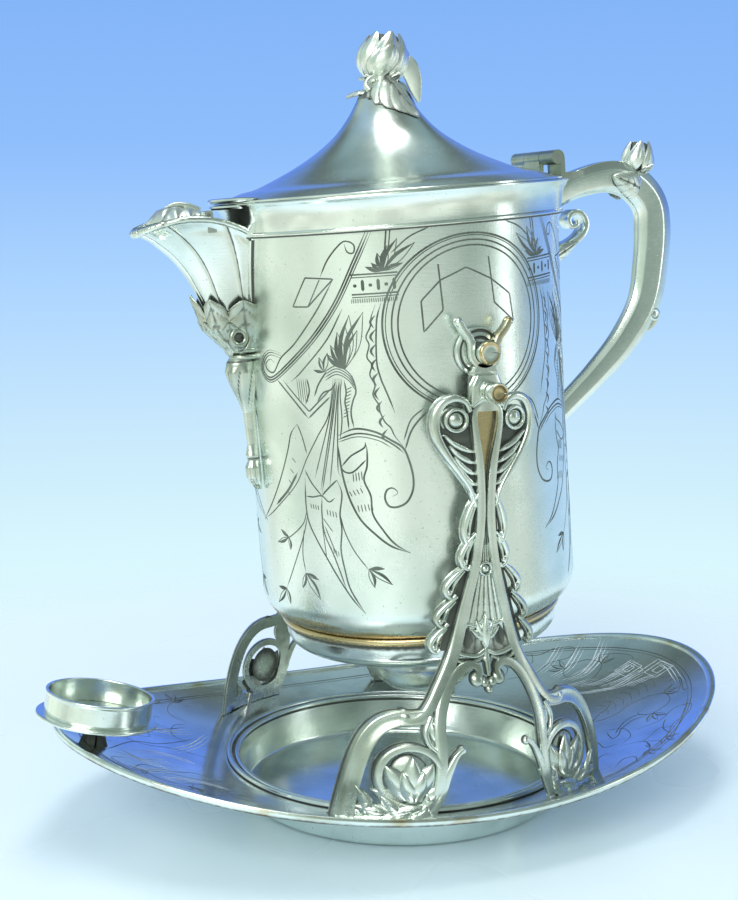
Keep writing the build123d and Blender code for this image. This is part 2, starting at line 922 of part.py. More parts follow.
def mouth_cut():
    """Everything above the spout's curved mouth."""
    tip = (-mouth_tip_offset, mouth_tip_height)
    peak = (-mouth_peak_offset, mouth_peak_height)
    root = (-spout_root + 3, mouth_root_height)
    top = spout_high + 20
    outline = [
        ThreePointArc(tip, peak, root),
        Line(root, (root[0] + 20, root[1])),
        Line((root[0] + 20, root[1]), (root[0] + 20, top)),
        Line((root[0] + 20, top), (tip[0] - 10, top)),
        Line((tip[0] - 10, top), (tip[0] - 10, tip[1])),
        Line((tip[0] - 10, tip[1]), tip),
    ]
    return upright(make_face(Curve() + outline), 4 * spout_half_width_high)


def spout_block():
    """Filled outside shape of the spout."""
    return half_ellipse_loft(spout_stations())


def flap_lug(side):
    """Lug inside one wall of the spout that holds an end of the flap's pin."""
    inner = flap_barrel_half_length + flap_end_play
    outer = flap_pin_half_length
    foot_low = flap_pin_height - 8
    foot_high = flap_pin_height - 3
    foot_reach = spout_half_width_high
    foot = Pos(-flap_pin_offset, side * (inner + foot_reach) / 2, (foot_low + foot_high) / 2)
    foot = foot * Box(2 * flap_lug_radius, foot_reach - inner, foot_high - foot_low)
    post = Pos(-flap_pin_offset, side * (inner + outer) / 2, (foot_low + flap_pin_height) / 2)
    post = post * Box(2 * flap_lug_radius, outer - inner, flap_pin_height - foot_low)
    low, high = sorted((side * inner, side * outer))
    crown = along_y(flap_lug_radius, low, high, -flap_pin_offset, flap_pin_height)
    return (foot & spout_block()) + post + crown


def spout():
    """Flared spout with its hollow and the two lugs that hold the flap's pin."""
    hollow_stations = spout_stations()
    low, reach, half_width = hollow_stations[0]
    hollow_stations[0] = (low + spout_sheet, reach, half_width)
    hollow = half_ellipse_loft(hollow_stations, spout_sheet)
    whole = spout_block() - hollow - mouth_cut()
    for side in (-1, 1):
        whole += flap_lug(side)
    whole -= flap_pin()
    return largest(whole - body_block() - collar_block())


def flap_profile(extra):
    """Arched XZ band of the flap, from its barrel to its tip."""
    start_x = -flap_pin_offset
    tip_x = -flap_pin_offset - flap_reach
    base = flap_pin_height
    low = [
        (start_x, base - flap_barrel_radius * 0.2),
        ((start_x + tip_x) / 2, base + flap_crown - flap_sheet),
        (tip_x, base - 2.0),
    ]
    high = [
        (tip_x, base - 2.0 + extra * 0.7),
        ((start_x + tip_x) / 2, base + flap_crown - flap_sheet + extra),
        (start_x, base + flap_barrel_radius * 0.9),
    ]
    outline = [
        ThreePointArc(*low),
        Line(low[-1], high[0]),
        ThreePointArc(*high),
        Line(high[-1], low[0]),
    ]
    return make_face(Curve() + outline)


def spout_flap():
    """Arched leaf that covers the spout's mouth, on a barrel round its pin."""
    plan = make_face(
        Curve()
        + [
            Line((0, -flap_neck_half_width), (0, flap_neck_half_width)),
            ThreePointArc(
                (0, flap_neck_half_width), (-flap_reach * 0.45, flap_half_width), (-flap_reach, 0)
            ),
            ThreePointArc(
                (-flap_reach, 0), (-flap_reach * 0.45, -flap_half_width), (0, -flap_neck_half_width)
            ),
        ]
    )
    prism = Pos(-flap_pin_offset, 0, flap_pin_height - 10) * extrude(plan, 30)
    arch = upright(flap_profile(flap_sheet), 4 * flap_half_width)
    barrel = along_y(
        flap_barrel_radius,
        -flap_barrel_half_length,
        flap_barrel_half_length,
        -flap_pin_offset,
        flap_pin_height,
    )
    bore = along_y(
        flap_pin_radius + flap_running_fit,
        -flap_pin_half_length,
        flap_pin_half_length,
        -flap_pin_offset,
        flap_pin_height,
    )
    return (prism & arch) + barrel - bore


def flap_pin():
    """Plain pin that the flap turns on."""
    return along_y(
        flap_pin_radius, -flap_pin_half_length, flap_pin_half_length, -flap_pin_offset, flap_pin_height
    )


def spout_calyx():
    """Leaf cup under the spout, with a round eye on each side."""
    stations = [
        (calyx_neck, neck_reach, neck_half_width),
        (calyx_neck + 3, neck_reach + 0.8, neck_half_width + 0.6),
        ((calyx_neck + calyx_top) / 2, calyx_reach - 3.6, calyx_half_width - 2.2),
        (calyx_top, calyx_reach, calyx_half_width),
    ]
    cup = half_ellipse_loft(stations) - spout_block() - body_block()
    middle = -(spout_root + neck_reach - 1.5)
    for side in (-1, 1):
        start = side * (calyx_half_width - 3.4)
        end = side * (calyx_half_width + 4)
        cup -= along_y(eye_radius, start, end, middle, eye_height)
    return largest(cup)


def spout_pendant():
    """Leaf bulb, stem and acorn drop down the front of the body."""
    stations = [
        (drop_tip, stem_reach - 2.2, 1.2),
        (drop_height - 6, drop_reach - 0.8, drop_half_width - 0.8),
        (drop_height, drop_reach, drop_half_width),
        (stem_low, stem_reach, stem_half_width),
        ((stem_low + bulb_height) / 2, stem_reach + 0.4, stem_half_width + 0.4),
        (bulb_height - 9, bulb_reach - 3.0, bulb_half_width - 1.6),
        (bulb_height, bulb_reach, bulb_half_width),
        (calyx_neck, neck_reach, neck_half_width),
    ]
    return largest(half_ellipse_loft(stations) - body_block())


def handle_section(place, way, depth, width):
    """Six-sided section of the handle across its path."""
    corners = [
        (depth / 2, width * 0.24),
        (-depth * 0.08, width / 2),
        (-depth / 2, width * 0.2),
        (-depth / 2, -width * 0.2),
        (-depth * 0.08, -width / 2),
        (depth / 2, -width * 0.24),
    ]
    plane = Plane(origin=(place.X, 0, place.Y), x_dir=(way.Y, 0, -way.X), z_dir=(way.X, 0, way.Y))
    return plane * make_face(Polyline(*corners, close=True))


def handle_loop(wall=0.0):
    """Main loop of the handle, lofted through sections along its path, or its core inside a wall."""
    path = Spline(
        (body_top_radius - 6, handle_top_root),
        (handle_crown_offset, handle_crown_height),
        (handle_shoulder_offset, handle_shoulder_height),
        (handle_back_offset, handle_back_height),
        (handle_turn_offset, handle_turn_height),
        (handle_low_offset, handle_low_height),
        (body_radius - 8, handle_low_root),
        tangents=((1.0, 0.45), (-0.8, -0.75)),
    )
    knots = [
        (0.0, handle_depth_root),
        (0.2, handle_depth_crown),
        (0.42, handle_depth_back),
        (0.62, handle_depth_back * 0.88),
        (1.0, handle_depth_low),
    ]
    count = 15
    skipped = 2 if wall else 0
    sections = []
    for i in range(skipped, count - skipped):
        t = i / (count - 1)
        depth = blend_between(knots, t) - 2 * wall
        width = handle_width_top + (handle_width_low - handle_width_top) * t - 2 * wall
        sections.append(handle_section(path @ t, path % t, depth, width))
    return loft(sections)


def blend_between(knots, t):
    """Smooth value at t between pairs of parameter and value."""
    for (t0, v0), (t1, v1) in zip(knots, knots[1:]):
        if t <= t1:
            s = (t - t0) / (t1 - t0)
            s = s * s * (3 - 2 * s)
            return v0 + (v1 - v0) * s
    return knots[-1][1]


def handle():
    """Loop handle with a rolled scroll under its top root and a small one at its turn."""
    loop = handle_loop()
    scroll = along_y(
        top_scroll_radius, -handle_width_top * 0.42, handle_width_top * 0.42, top_scroll_offset, top_scroll_height
    )
    tail = upright(
        ribbon(
            [
                (body_top_radius - 4, handle_top_root - 16),
                (top_scroll_offset - 12, top_scroll_height - 6),
                (top_scroll_offset, top_scroll_height - 3),
            ],
            6.0,
            8.0,
        ),
        handle_width_top * 0.7,
    )
    small = along_y(
        low_scroll_radius, -handle_width_low * 0.6, handle_width_low * 0.6, low_scroll_offset, low_scroll_height
    )
    whole = loop + scroll + tail + small - handle_loop(handle_wall)
    return largest(whole - body_block() - collar_block() - hinge_leaf_block())


def bud_shape(radius, height, foot_radius):
    """Closed bud standing on the origin, widest a little above its middle."""
    waist = height * 0.52
    lower = Spline((foot_radius, 0), (radius, waist), tangents=((0.9, 0.35), (0.0, 1.0)))
    upper = Spline((radius, waist), (0, height), tangents=((0.0, 1.0), (-1.0, 0.25)))
    outline = [lower, upper, Line((0, height), (0, 0)), Line((0, 0), (foot_radius, 0))]
    return turned(outline)


def handle_bud():
    """Closed bud on top of the handle's crown."""
    sunk = 4.0
    shape = bud_shape(bud_radius, bud_height + sunk, bud_radius * 0.4)
    bud = Pos(bud_offset, 0, bud_seat - sunk) * Rot(0, 12, 0) * shape
    return largest(bud - handle_loop())


def handle_leaf():
    """Pair of veined leaves that lie against the sides of the crown."""
    leaves = []
    for side in (-1, 1):
        blade = leaf_solid(handle_leaf_length, handle_leaf_width, handle_leaf_thickness)
        blade = Pos(-handle_leaf_length / 2, 0, 0) * blade
        turn = Rot(90, 0, 0) if side < 0 else Rot(90, 0, 0) * Pos(0, 0, -handle_leaf_thickness)
        spot = Pos(bud_offset - 10, side * (handle_width_top / 2 - 2.2), bud_seat - 5.5)
        blade = spot * Rot(0, 35, 0) * turn * blade
        leaves.append(largest(blade - handle_loop() - handle_bud()))
    return leaves


def front_trunnion_disc():
    """Ringed disc soldered to the body round the trunnion."""
    disc = along_y(disc_radius, -disc_face, -body_radius + 20, 0, pivot_height)
    for share in (0.9, 0.62):
        outer = along_y(disc_radius * share, -disc_face, -disc_face + disc_groove, 0, pivot_height)
        inner = along_y(disc_radius * share - 1.2, -disc_face, -disc_face + disc_groove, 0, pivot_height)
        disc -= outer - inner
    disc -= along_y(trunnion_spigot_radius, -disc_face, -body_radius + 20, 0, pivot_height)
    return largest(disc - body_block())


def front_trunnion():
    """Turned pin with a round knob outside the fork."""
    spigot_end = disc_face - trunnion_spigot_length
    pin = along_y(trunnion_spigot_radius, -disc_face, -spigot_end, 0, pivot_height)
    pin += along_y(trunnion_neck_radius, -knob_inner_face, -disc_face, 0, pivot_height)
    knob = along_y(
        trunnion_knob_radius, -knob_inner_face - trunnion_knob_length, -knob_inner_face, 0, pivot_height
    )
    knob = fillet(knob.edges(), 1.0)
    return pin + knob


def lid_block(lift):
    """Filled shape of the lid above its edge, moved up or down by the lift."""
    run = lid_brim_radius - lid_cone_top_radius
    rise = lid_cone_top - lid_brim_height
    curve = Spline(
        (lid_edge_radius, lid_edge_top + lift),
        ((lid_edge_radius + lid_brim_radius) / 2, lid_brim_height - 2.4 + lift),
        (lid_brim_radius, lid_brim_height + lift),
        (lid_brim_radius - 0.4 * run, lid_brim_height + 0.24 * rise + lift),
        (lid_brim_radius - 0.7 * run, lid_brim_height + 0.5 * rise + lift),
        (lid_brim_radius - 0.88 * run, lid_brim_height + 0.75 * rise + lift),
        (lid_cone_top_radius, lid_cone_top + lift),
    )
    low = lid_low - 1
    outline = [
        curve,
        Line((lid_cone_top_radius, lid_cone_top + lift), (0, lid_cone_top + lift)),
        Line((0, lid_cone_top + lift), (0, low)),
        Line((0, low), (lid_edge_radius, low)),
        Line((lid_edge_radius, low), (lid_edge_radius, lid_edge_top + lift)),
    ]
    return turned(outline)


def lid_shell():
    """Concave lid with a turned-down edge and a beak over the spout."""
    above = lid_edge_radius + beak_reach
    keep = Pos(0, 0, lid_low + above / 2) * Cylinder(above, above)
    core = Cylinder(lid_edge_radius - lid_sheet, 2 * lid_cone_top)
    shell = (lid_block(0) & keep) - (lid_block(-lid_sheet * 1.4) & core)
    low = collar_top + lid_gap
    shelf = beak(0, low, low + beak_sheet) - Pos(0, 0, low) * Cylinder(lid_edge_radius - lid_sheet / 2, 20)
    shell += shelf
    shell -= Pos(0, 0, lid_cone_top) * Cylinder(stud_radius, 30)
    return largest(shell)


def lid_lining():
    """Inner pan that closes the lid's underside and dips into the neck."""
    edge = lid_edge_radius - lid_sheet
    dip = lid_low - lining_depth
    sheet = lining_sheet
    return polygon_solid(
        (edge, lid_low),
        (lining_radius + 1, lid_low),
        (lining_radius, dip),
        (0, dip),
        (0, dip + sheet),
        (lining_radius - sheet, dip + sheet),
        (lining_radius + 1 - sheet, lid_low + sheet),
        (edge, lid_low + sheet),
    )


def knuckle_range(start, end):
    """Hinge barrel between two Y values."""
    return along_y(hinge_barrel_radius, start, end, hinge_offset, hinge_height)


def hinge_leaf_block():
    """Flat part of the fixed hinge leaf, which lies on the collar and the handle's root."""
    length = hinge_plate_outer - hinge_plate_inner
    middle = (hinge_plate_outer + hinge_plate_inner) / 2
    plate = Pos(middle, 0, collar_top + hinge_plate_sheet / 2)
    return plate * Box(length, 2 * hinge_half_length, hinge_plate_sheet)


def hinge_plate():
    """Fixed hinge leaf on the collar's lip, with legs up to its two outer knuckles."""
    gap = lid_knuckle_half_length + hinge_end_play
    body = hinge_leaf_block()
    for side in (-1, 1):
        near = side * gap
        far = side * hinge_half_length
        leg = Pos(hinge_plate_inner + hinge_leg / 2, (near + far) / 2, (collar_top + hinge_height) / 2)
        body += leg * Box(hinge_leg, abs(far - near), hinge_height - collar_top)
        body += knuckle_range(min(near, far), max(near, far))
    return largest(body - hinge_pin())


def lid_knuckle():
    """Lid hinge leaf on the brim with the middle knuckle."""
    length = lid_knuckle_half_length
    barrel = knuckle_range(-length, length)
    inner = lid_edge_radius - lid_leaf_length
    leaf_box = Pos((inner + lid_edge_radius) / 2, 0, lid_edge_top)
    leaf_box = leaf_box * Box(lid_leaf_length, 2 * length + 8, 40)
    leaf = (lid_block(lid_leaf_sheet) - lid_block(0)) & leaf_box
    strap = Pos(lid_edge_radius - 1.4, 0, (lid_edge_top + hinge_height) / 2)
    strap = strap * Box(2.6, 2 * length, hinge_height - lid_edge_top)
    bore = along_y(
        hinge_pin_radius + hinge_running_fit, -length, length, hinge_offset, hinge_height
    )
    return largest(barrel + (strap - lid_block(0)) + leaf - bore)


def hinge_pin():
    """Pin through the lid hinge, flush with its ends."""
    return along_y(hinge_pin_radius, -hinge_half_length, hinge_half_length, hinge_offset, hinge_height)


def finial_leaves():
    """Collar of drooping leaves round the finial's foot."""
    outline = [
        Line((0, 0), (finial_collar_radius, 0)),
        ThreePointArc(
            (finial_collar_radius, 0),
            (finial_collar_radius * 0.72, finial_collar_height * 0.5),
            (finial_collar_radius * 0.5, finial_collar_height),
        ),
        Line((finial_collar_radius * 0.5, finial_collar_height), (0, finial_collar_height)),
        Line((0, finial_collar_height), (0, 0)),
    ]
    cluster = Pos(0, 0, finial_seat) * turned(outline)
    for i in range(finial_leaf_count):
        turn = 360 * i / finial_leaf_count + 20
        droop = 28 if i % 2 else 40
        blade = leaf_solid(finial_leaf_length, finial_leaf_width, finial_leaf_thickness)
        place = Rot(0, 0, turn) * Pos(3.0, 0, finial_seat + finial_collar_height * 0.8)
        cluster += place * Rot(0, droop, 0) * blade
    cluster -= Pos(0, 0, finial_seat) * Cylinder(stud_radius, 60)
    return largest(cluster - lid_block(0))


def finial_bud():
    """Large closed bud with a slight lean."""
    lean = Rot(0, finial_bud_lean, 0)
    bud = Pos(0.6, 0, finial_top - 1) * lean * bud_shape(finial_bud_radius, finial_bud_height, 5.4)
    bud -= Pos(0, 0, finial_top) * Cylinder(stud_radius, 16)
    return largest(bud - finial_leaves() - (Pos(0, 0, finial_top - 5) * Cylinder(20, 10)))


def finial_stud():
    """Threaded stud from the bud down through the lid."""
    low = lid_cone_top - 1.4 * lid_sheet - nut_height - 2
    high = finial_top + 8
    return Pos(0, 0, (low + high) / 2) * Cylinder(stud_radius, high - low)


def finial_nut():
    """Six-sided nut under the lid's crown."""
    top = lid_cone_top - 1.4 * lid_sheet
    nut = extrude(RegularPolygon(nut_radius, 6) - Circle(stud_radius), -nut_height)
    return Pos(0, 0, top) * nut


def tilted(shape):
    """A pitcher piece turned about the trunnions to the rest pose, its top towards the spout."""
    return shape.rotate(Axis((0, 0, pivot_height), (0, 1, 0)), -rest_tilt)


def save(name, *solids):
    """Write one node, as one solid or a group of separate solids."""
    pieces = []
    for shape in solids:
        pieces.extend(shape.solids())
    whole = pieces[0] if len(pieces) == 1 else Compound(pieces)
    export_step(whole, os.path.join("parts", name + ".step"))


def save_stand():
    """Tray, goblet ring, standards and forks."""
    flange = tray_flange()
    standard = front_standard()
    fork = front_fork()
    bolt = front_fork_bolt()
    screws = [foot_screw(x) for x in foot_screw_places()]
    for x in foot_screw_places():
        hole = screw_hole(x)
        flange -= hole
        flange -= to_rear(hole)
    save("tray_flange", flange)
    save("tray_bead", tray_bead() - flange)
    save("well_pan", well_pan())
    save("well_lip", well_lip())
    save("goblet_plate", goblet_plate())
    save("goblet_ring", goblet_ring())
    save("goblet_post", goblet_post())
    save("front_standard", standard)
    save("rear_standard", to_rear(standard))
    save("standard_screws", *screws, *[to_rear(s) for s in screws])
    save("front_fork", fork)
    save("rear_fork", to_rear(fork))
    save("fork_bolts", bolt, to_rear(bolt))


def save_pitcher():
    """Pitcher body with its spout, handle, trunnions and the fixed half of the lid hinge."""
    disc = front_trunnion_disc()
    trunnion = front_trunnion()
    pieces = {
        "outer_body": outer_body(),
        "inner_liner": inner_liner(),
        "rim_band": rim_band(),
        "base_band": base_band(),
        "base_pan": base_pan(),
        "base_knob": base_knob(),
        "spout": spout(),
        "spout_throat": spout_throat(),
        "ice_guard": ice_guard(),
        "spout_calyx": spout_calyx(),
        "spout_pendant": spout_pendant(),
        "flap_pin": flap_pin(),
        "handle": handle(),
        "handle_bud": handle_bud(),
        "front_trunnion_disc": disc,
        "rear_trunnion_disc": to_rear(disc),
        "front_trunnion": trunnion,
        "rear_trunnion": to_rear(trunnion),
        "hinge_plate": hinge_plate(),
        "hinge_pin": hinge_pin(),
    }
    for name, shape in pieces.items():
        save(name, tilted(shape))
    save("handle_leaf", *[tilted(leaf) for leaf in handle_leaf()])


def save_moving():
    """Lid with its finial, and the spout's flap."""
    pieces = {
        "lid_shell": lid_shell(),
        "lid_lining": lid_lining(),
        "lid_knuckle": lid_knuckle(),
        "finial_leaves": finial_leaves(),
        "finial_bud": finial_bud(),
        "finial_stud": finial_stud(),
        "finial_nut": finial_nut(),
        "spout_flap": spout_flap(),
    }
    for name, shape in pieces.items():
        save(name, tilted(shape))


save_stand()
save_pitcher()
save_moving()
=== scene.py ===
import bmesh
import bpy
import numpy as np
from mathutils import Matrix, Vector


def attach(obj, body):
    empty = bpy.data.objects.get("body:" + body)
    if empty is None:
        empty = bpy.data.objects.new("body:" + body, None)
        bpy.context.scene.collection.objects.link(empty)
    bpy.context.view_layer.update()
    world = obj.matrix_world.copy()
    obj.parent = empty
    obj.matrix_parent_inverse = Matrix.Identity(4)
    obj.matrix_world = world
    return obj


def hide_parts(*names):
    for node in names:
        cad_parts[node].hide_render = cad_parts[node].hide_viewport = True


# Looks of the silver-plated tilting water pitcher on its tray.
# Shapes are worked out in millimetres in the frame's axes and put into meshes in metres.

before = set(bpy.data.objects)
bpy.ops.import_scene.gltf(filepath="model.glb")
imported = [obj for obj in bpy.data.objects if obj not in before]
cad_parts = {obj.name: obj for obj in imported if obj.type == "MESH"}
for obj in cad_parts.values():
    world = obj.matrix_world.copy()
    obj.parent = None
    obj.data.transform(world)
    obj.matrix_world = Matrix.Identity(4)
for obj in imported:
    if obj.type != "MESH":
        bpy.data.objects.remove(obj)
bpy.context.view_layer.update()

# Camera at the photograph's viewing angle
camera_turn = np.radians(25.28)
camera_pan = np.radians(-1.25)
camera_pitch = np.radians(8.28)
camera_distance = 0.7325
camera_height = 0.2842
camera_lens = 58.18
film_height = 36.0
floor_level = -0.0003

# Pitcher, stand and tray sizes, the same as the part's
rest_tilt = np.radians(-4.8)
pivot_height = 233.7
shoulder_low = 99.5
body_radius = 80.0
body_waist_radius = 79.9
body_top_radius = 82.0
spout_root = 78.0
dish_radius = 372.0
dish_low = 8.6
flange_sheet = 1.4
tray_half_length = 177.0
tray_half_width = 118.5
bead_width = 4.6
foot_ring_radius = 104.6
head_ring_radius = 89.6
foot_zone_top = 32.0
head_zone_bottom = 118.0
foot_level = 24.25
fork_inner_face = 84.1
fork_outer_face = 89.1
trunnion_room = 4.26
bolt_height = 216.4
calyx_low = 236.0
calyx_rise = 27.0
body_sheet = 1.1
stud_room = 2.0
lid_edge = 84.0
lid_edge_level = 307.9
shoulder_join = 113.0
shoulder_high = 116.0
waist_height = 201.4
body_top = 301.5
spout_low = 255.0
spout_rise = 48.0
eye_height = 245.2
flap_pin_reach = -98.6
flap_pin_height = 303.2
goblet_place = (-159.5, 0.0, 58.0)
goblet_lean = 10.0


def placed(name, data):
    """New object of the scene with the given data."""
    made = bpy.data.objects.new(name, data)
    bpy.context.scene.collection.objects.link(made)
    return made


def place_camera():
    """Camera on a circle round the pitcher, looking a little down."""
    spot = Vector((
        -camera_distance * np.sin(camera_turn),
        -camera_distance * np.cos(camera_turn),
        camera_height,
    ))
    yaw = camera_turn + camera_pan
    look = Vector((
        np.sin(yaw) * np.cos(camera_pitch),
        np.cos(yaw) * np.cos(camera_pitch),
        -np.sin(camera_pitch),
    ))
    data = bpy.data.cameras.new("camera")
    data.sensor_fit = "VERTICAL"
    data.sensor_height = film_height
    data.lens = camera_lens
    data.clip_start = 0.02
    camera = placed("camera", data)
    camera.location = spot
    camera.rotation_euler = look.to_track_quat("-Z", "Y").to_euler()
    bpy.context.scene.camera = camera


# Shader maths


class Wire:
    """One output of a node, which takes part in Python arithmetic."""

    def __init__(self, finish, socket):
        self.finish = finish
        self.socket = socket

    def __add__(self, other):
        return self.finish.sum("ADD", self, other)

    __radd__ = __add__

    def __mul__(self, other):
        return self.finish.sum("MULTIPLY", self, other)

    __rmul__ = __mul__

    def __sub__(self, other):
        return self.finish.sum("SUBTRACT", self, other)

    def __rsub__(self, other):
        return self.finish.sum("SUBTRACT", other, self)

    def __pow__(self, other):
        return self.finish.sum("POWER", self, other)


class Finish:
    """A node tree that is written as expressions."""

    def __init__(self, tree):
        self.tree = tree
        tree.nodes.clear()

    def node(self, kind, settings=None, inputs=None, output=0):
        """Add a node: its settings first, then the values or links of its sockets."""
        made = self.tree.nodes.new(kind)
        for key, value in (settings or {}).items():
            if key == "stops":
                ramp = made.color_ramp
                while len(ramp.elements) < len(value):
                    ramp.elements.new(0.5)
                for element, (position, color) in zip(ramp.elements, value):
                    element.position = position
                    element.color = (*color, 1.0)
            else:
                setattr(made, key, value)
        for key, value in (inputs or {}).items():
            socket = made.inputs[key]
            if isinstance(value, Wire):
                self.tree.links.new(value.socket, socket)
            elif isinstance(value, tuple) and len(value) == 3 and socket.type == "RGBA":
                socket.default_value = (*value, 1.0)
            else:
                socket.default_value = value
        return Wire(self, made.outputs[output]) if len(made.outputs) else made

    def sum(self, operation, first, second=0.0):
        """Result of a Math node."""
        return self.node("ShaderNodeMath", {"operation": operation}, {0: first, 1: second})

    def blend(self, mask, first, second):
        """Colour that goes from the first to the second as the mask goes from 0 to 1."""
        settings = {"data_type": "RGBA"}
        return self.node("ShaderNodeMix", settings, {0: mask, 6: first, 7: second}, 2)

    def step(self, value, low, high):
        """Smooth rise from 0 to 1 between two values."""
        settings = {"interpolation_type": "SMOOTHSTEP"}
        return self.node("ShaderNodeMapRange", settings, {0: value, 1: low, 2: high, 3: 0.0, 4: 1.0})

    def noise(self, place, scale, detail=2.0, stretch=(1.0, 1.0, 1.0)):
        """Cloudy noise over a place, drawn out along an axis by the stretch."""
        moved = self.node("ShaderNodeMapping", {}, {0: place, 3: stretch})
        return self.node("ShaderNodeTexNoise", {}, {"Vector": moved, "Scale": scale, "Detail": detail})

    def mark(self, name):
        """A value that the mesh carries at its points."""
        return self.node("ShaderNodeAttribute", {"attribute_name": name}, {}, 2)

    def bump(self, height, strength, distance):
        """Normal from a height."""
        inputs = {"Height": height, "Strength": strength, "Distance": distance}
        return self.node("ShaderNodeBump", {}, inputs)

    def surface(self, inputs):
        """Material output with one shader of metal and gloss."""
        self.node("ShaderNodeOutputMaterial", {}, {0: self.node("ShaderNodeBsdfPrincipled", {}, inputs)})


def new_material(name):
    """Material, its node tree for expressions, and the place on the object that it is seen at."""
    material = bpy.data.materials.new(name)
    material.use_nodes = True
    f = Finish(material.node_tree)
    return material, f, f.node("ShaderNodeTexCoord", {}, {}, 3)


def plated(name, light, shade, rough, spread, scratch, pits, recess, worn=0.0):
    """Silver plate: clouded colour, fine scratches, pits, worn places, and painted shade with tarnish that
    darkens recesses, undersides and the sides of castings.

    The mask of this painted shade and tarnish is the mesh's own value at its points, with noise added to
    break its edge.
    """
    material, f, place = new_material(name)
    cloud = f.noise(place, 17.0, 4.0)
    patch = f.noise(place, 42.0, 5.0)
    fine = f.noise(place, 420.0, 3.0)
    streaks = f.noise(place, 150.0, 3.0, (1.0, 1.0, 9.0))
    scores = f.noise(place, 110.0, 2.0, (9.0, 9.0, 1.0))
    stained = f.step(cloud * 0.65 + patch * 0.35, 0.42, 0.66)
    color = f.blend(stained, light, shade)
    speck = f.step(f.noise(place, 900.0, 2.0), 0.71 - pits, 0.80 - pits)
    color = f.blend(speck * 0.6, color, (0.16, 0.18, 0.16))
    bare = f.step(patch + f.mark("wear") * 0.9 + worn, 0.72, 0.98)
    color = f.blend(bare, color, (0.62, 0.50, 0.28))
    # Painted shade and tarnish: where the mesh marks it, the colour goes towards near black, rougher and less
    # metallic
    hollow = f.step(f.mark("hollow") + (fine - 0.5) * 0.5 + (patch - 0.5) * 0.3, 0.25, 0.85)
    color = f.blend(hollow * recess, color, (0.030, 0.034, 0.026))
    roughness = rough + (cloud - 0.5) * spread + (fine - 0.5) * 0.08 + speck * 0.25 + hollow * 0.35
    metal = 1.0 - hollow * 0.45 * recess - speck * 0.35
    relief = streaks * scratch + scores * scratch + fine * (0.35 + pits) - speck * 1.2
    normal = f.bump(relief, 0.10, 0.0004)
    f.surface({"Base Color": color, "Roughness": roughness, "Metallic": metal, "Normal": normal})
    return material


def plain_finish(name, light, shade, rough, metallic, scale):
    """Even finish with slight clouding and a fine grain."""
    material, f, place = new_material(name)
    cloud = f.noise(place, scale, 4.0)
    grain = f.noise(place, scale * 14.0, 2.0)
    color = f.blend(f.step(cloud, 0.35, 0.7), light, shade)
    roughness = rough + (grain - 0.5) * 0.16
    normal = f.bump(grain + cloud * 0.5, 0.12, 0.0003)
    f.surface({"Base Color": color, "Roughness": roughness, "Metallic": metallic, "Normal": normal})
    return material


pale = (0.88, 0.94, 0.90)
grey = (0.64, 0.71, 0.66)
finishes = {
    "plate": plated("silver plate", pale, grey, 0.20, 0.22, 0.5, 0.02, 0.9),
    "body": plated("engraved silver plate", pale, (0.71, 0.79, 0.73), 0.27, 0.20, 0.5, 0.035, 0.9),
    "tray": plated("tray silver plate", (0.90, 0.94, 0.95), (0.62, 0.68, 0.68), 0.15, 0.20, 0.8, 0.02, 0.9),
    "cast": plated("cast silver plate", (0.80, 0.86, 0.80), (0.42, 0.47, 0.40),
        0.26, 0.25, 0.4, 0.03, 0.85),
    "satin": plated("satin silver plate", (0.93, 0.97, 0.92), (0.70, 0.77, 0.70),
        0.36, 0.20, 0.4, 0.03, 0.85),
    "gilt": plated("worn gilt", (0.80, 0.74, 0.52), (0.52, 0.50, 0.38),
        0.26, 0.25, 0.5, 0.03, 0.9, 0.12),
    "cut": plain_finish("cut line", (0.15, 0.18, 0.15), (0.06, 0.075, 0.06), 0.5, 0.4, 60.0),
    # Bright-cut strokes: a pale colour as painted glint of the cut facets
    "pale": plain_finish("bright cut", (0.84, 0.92, 0.95), (0.62, 0.70, 0.74), 0.5, 0.5, 60.0),
    "enamel": plain_finish("white enamel", (0.80, 0.82, 0.80), (0.70, 0.71, 0.68), 0.25, 0.0, 30.0),
    "steel": plain_finish("steel", (0.45, 0.46, 0.46), (0.28, 0.29, 0.29), 0.35, 1.0, 90.0),
}


# Mesh building


def quads(here, beyond):
    """Four-sided faces between two sets of rows of point numbers, closed across their columns."""
    corners = [here, np.roll(here, -1, axis=1), np.roll(beyond, -1, axis=1), beyond]
    return np.stack(corners, axis=-1).reshape(-1, 4)


def weld(mesh):
    """Join the points that lie together, and turn all faces outwards."""
    work = bmesh.new()
    work.from_mesh(mesh)
    bmesh.ops.remove_doubles(work, verts=work.verts, dist=2e-6)
    bmesh.ops.recalc_face_normals(work, faces=work.faces)
    work.to_mesh(mesh)
    work.free()


def smooth(mesh, sharp):
    """Smooth shading, with hard edges where faces meet at more than an angle in degrees."""
    mesh.shade_smooth()
    mesh.set_sharp_from_angle(angle=np.radians(sharp))


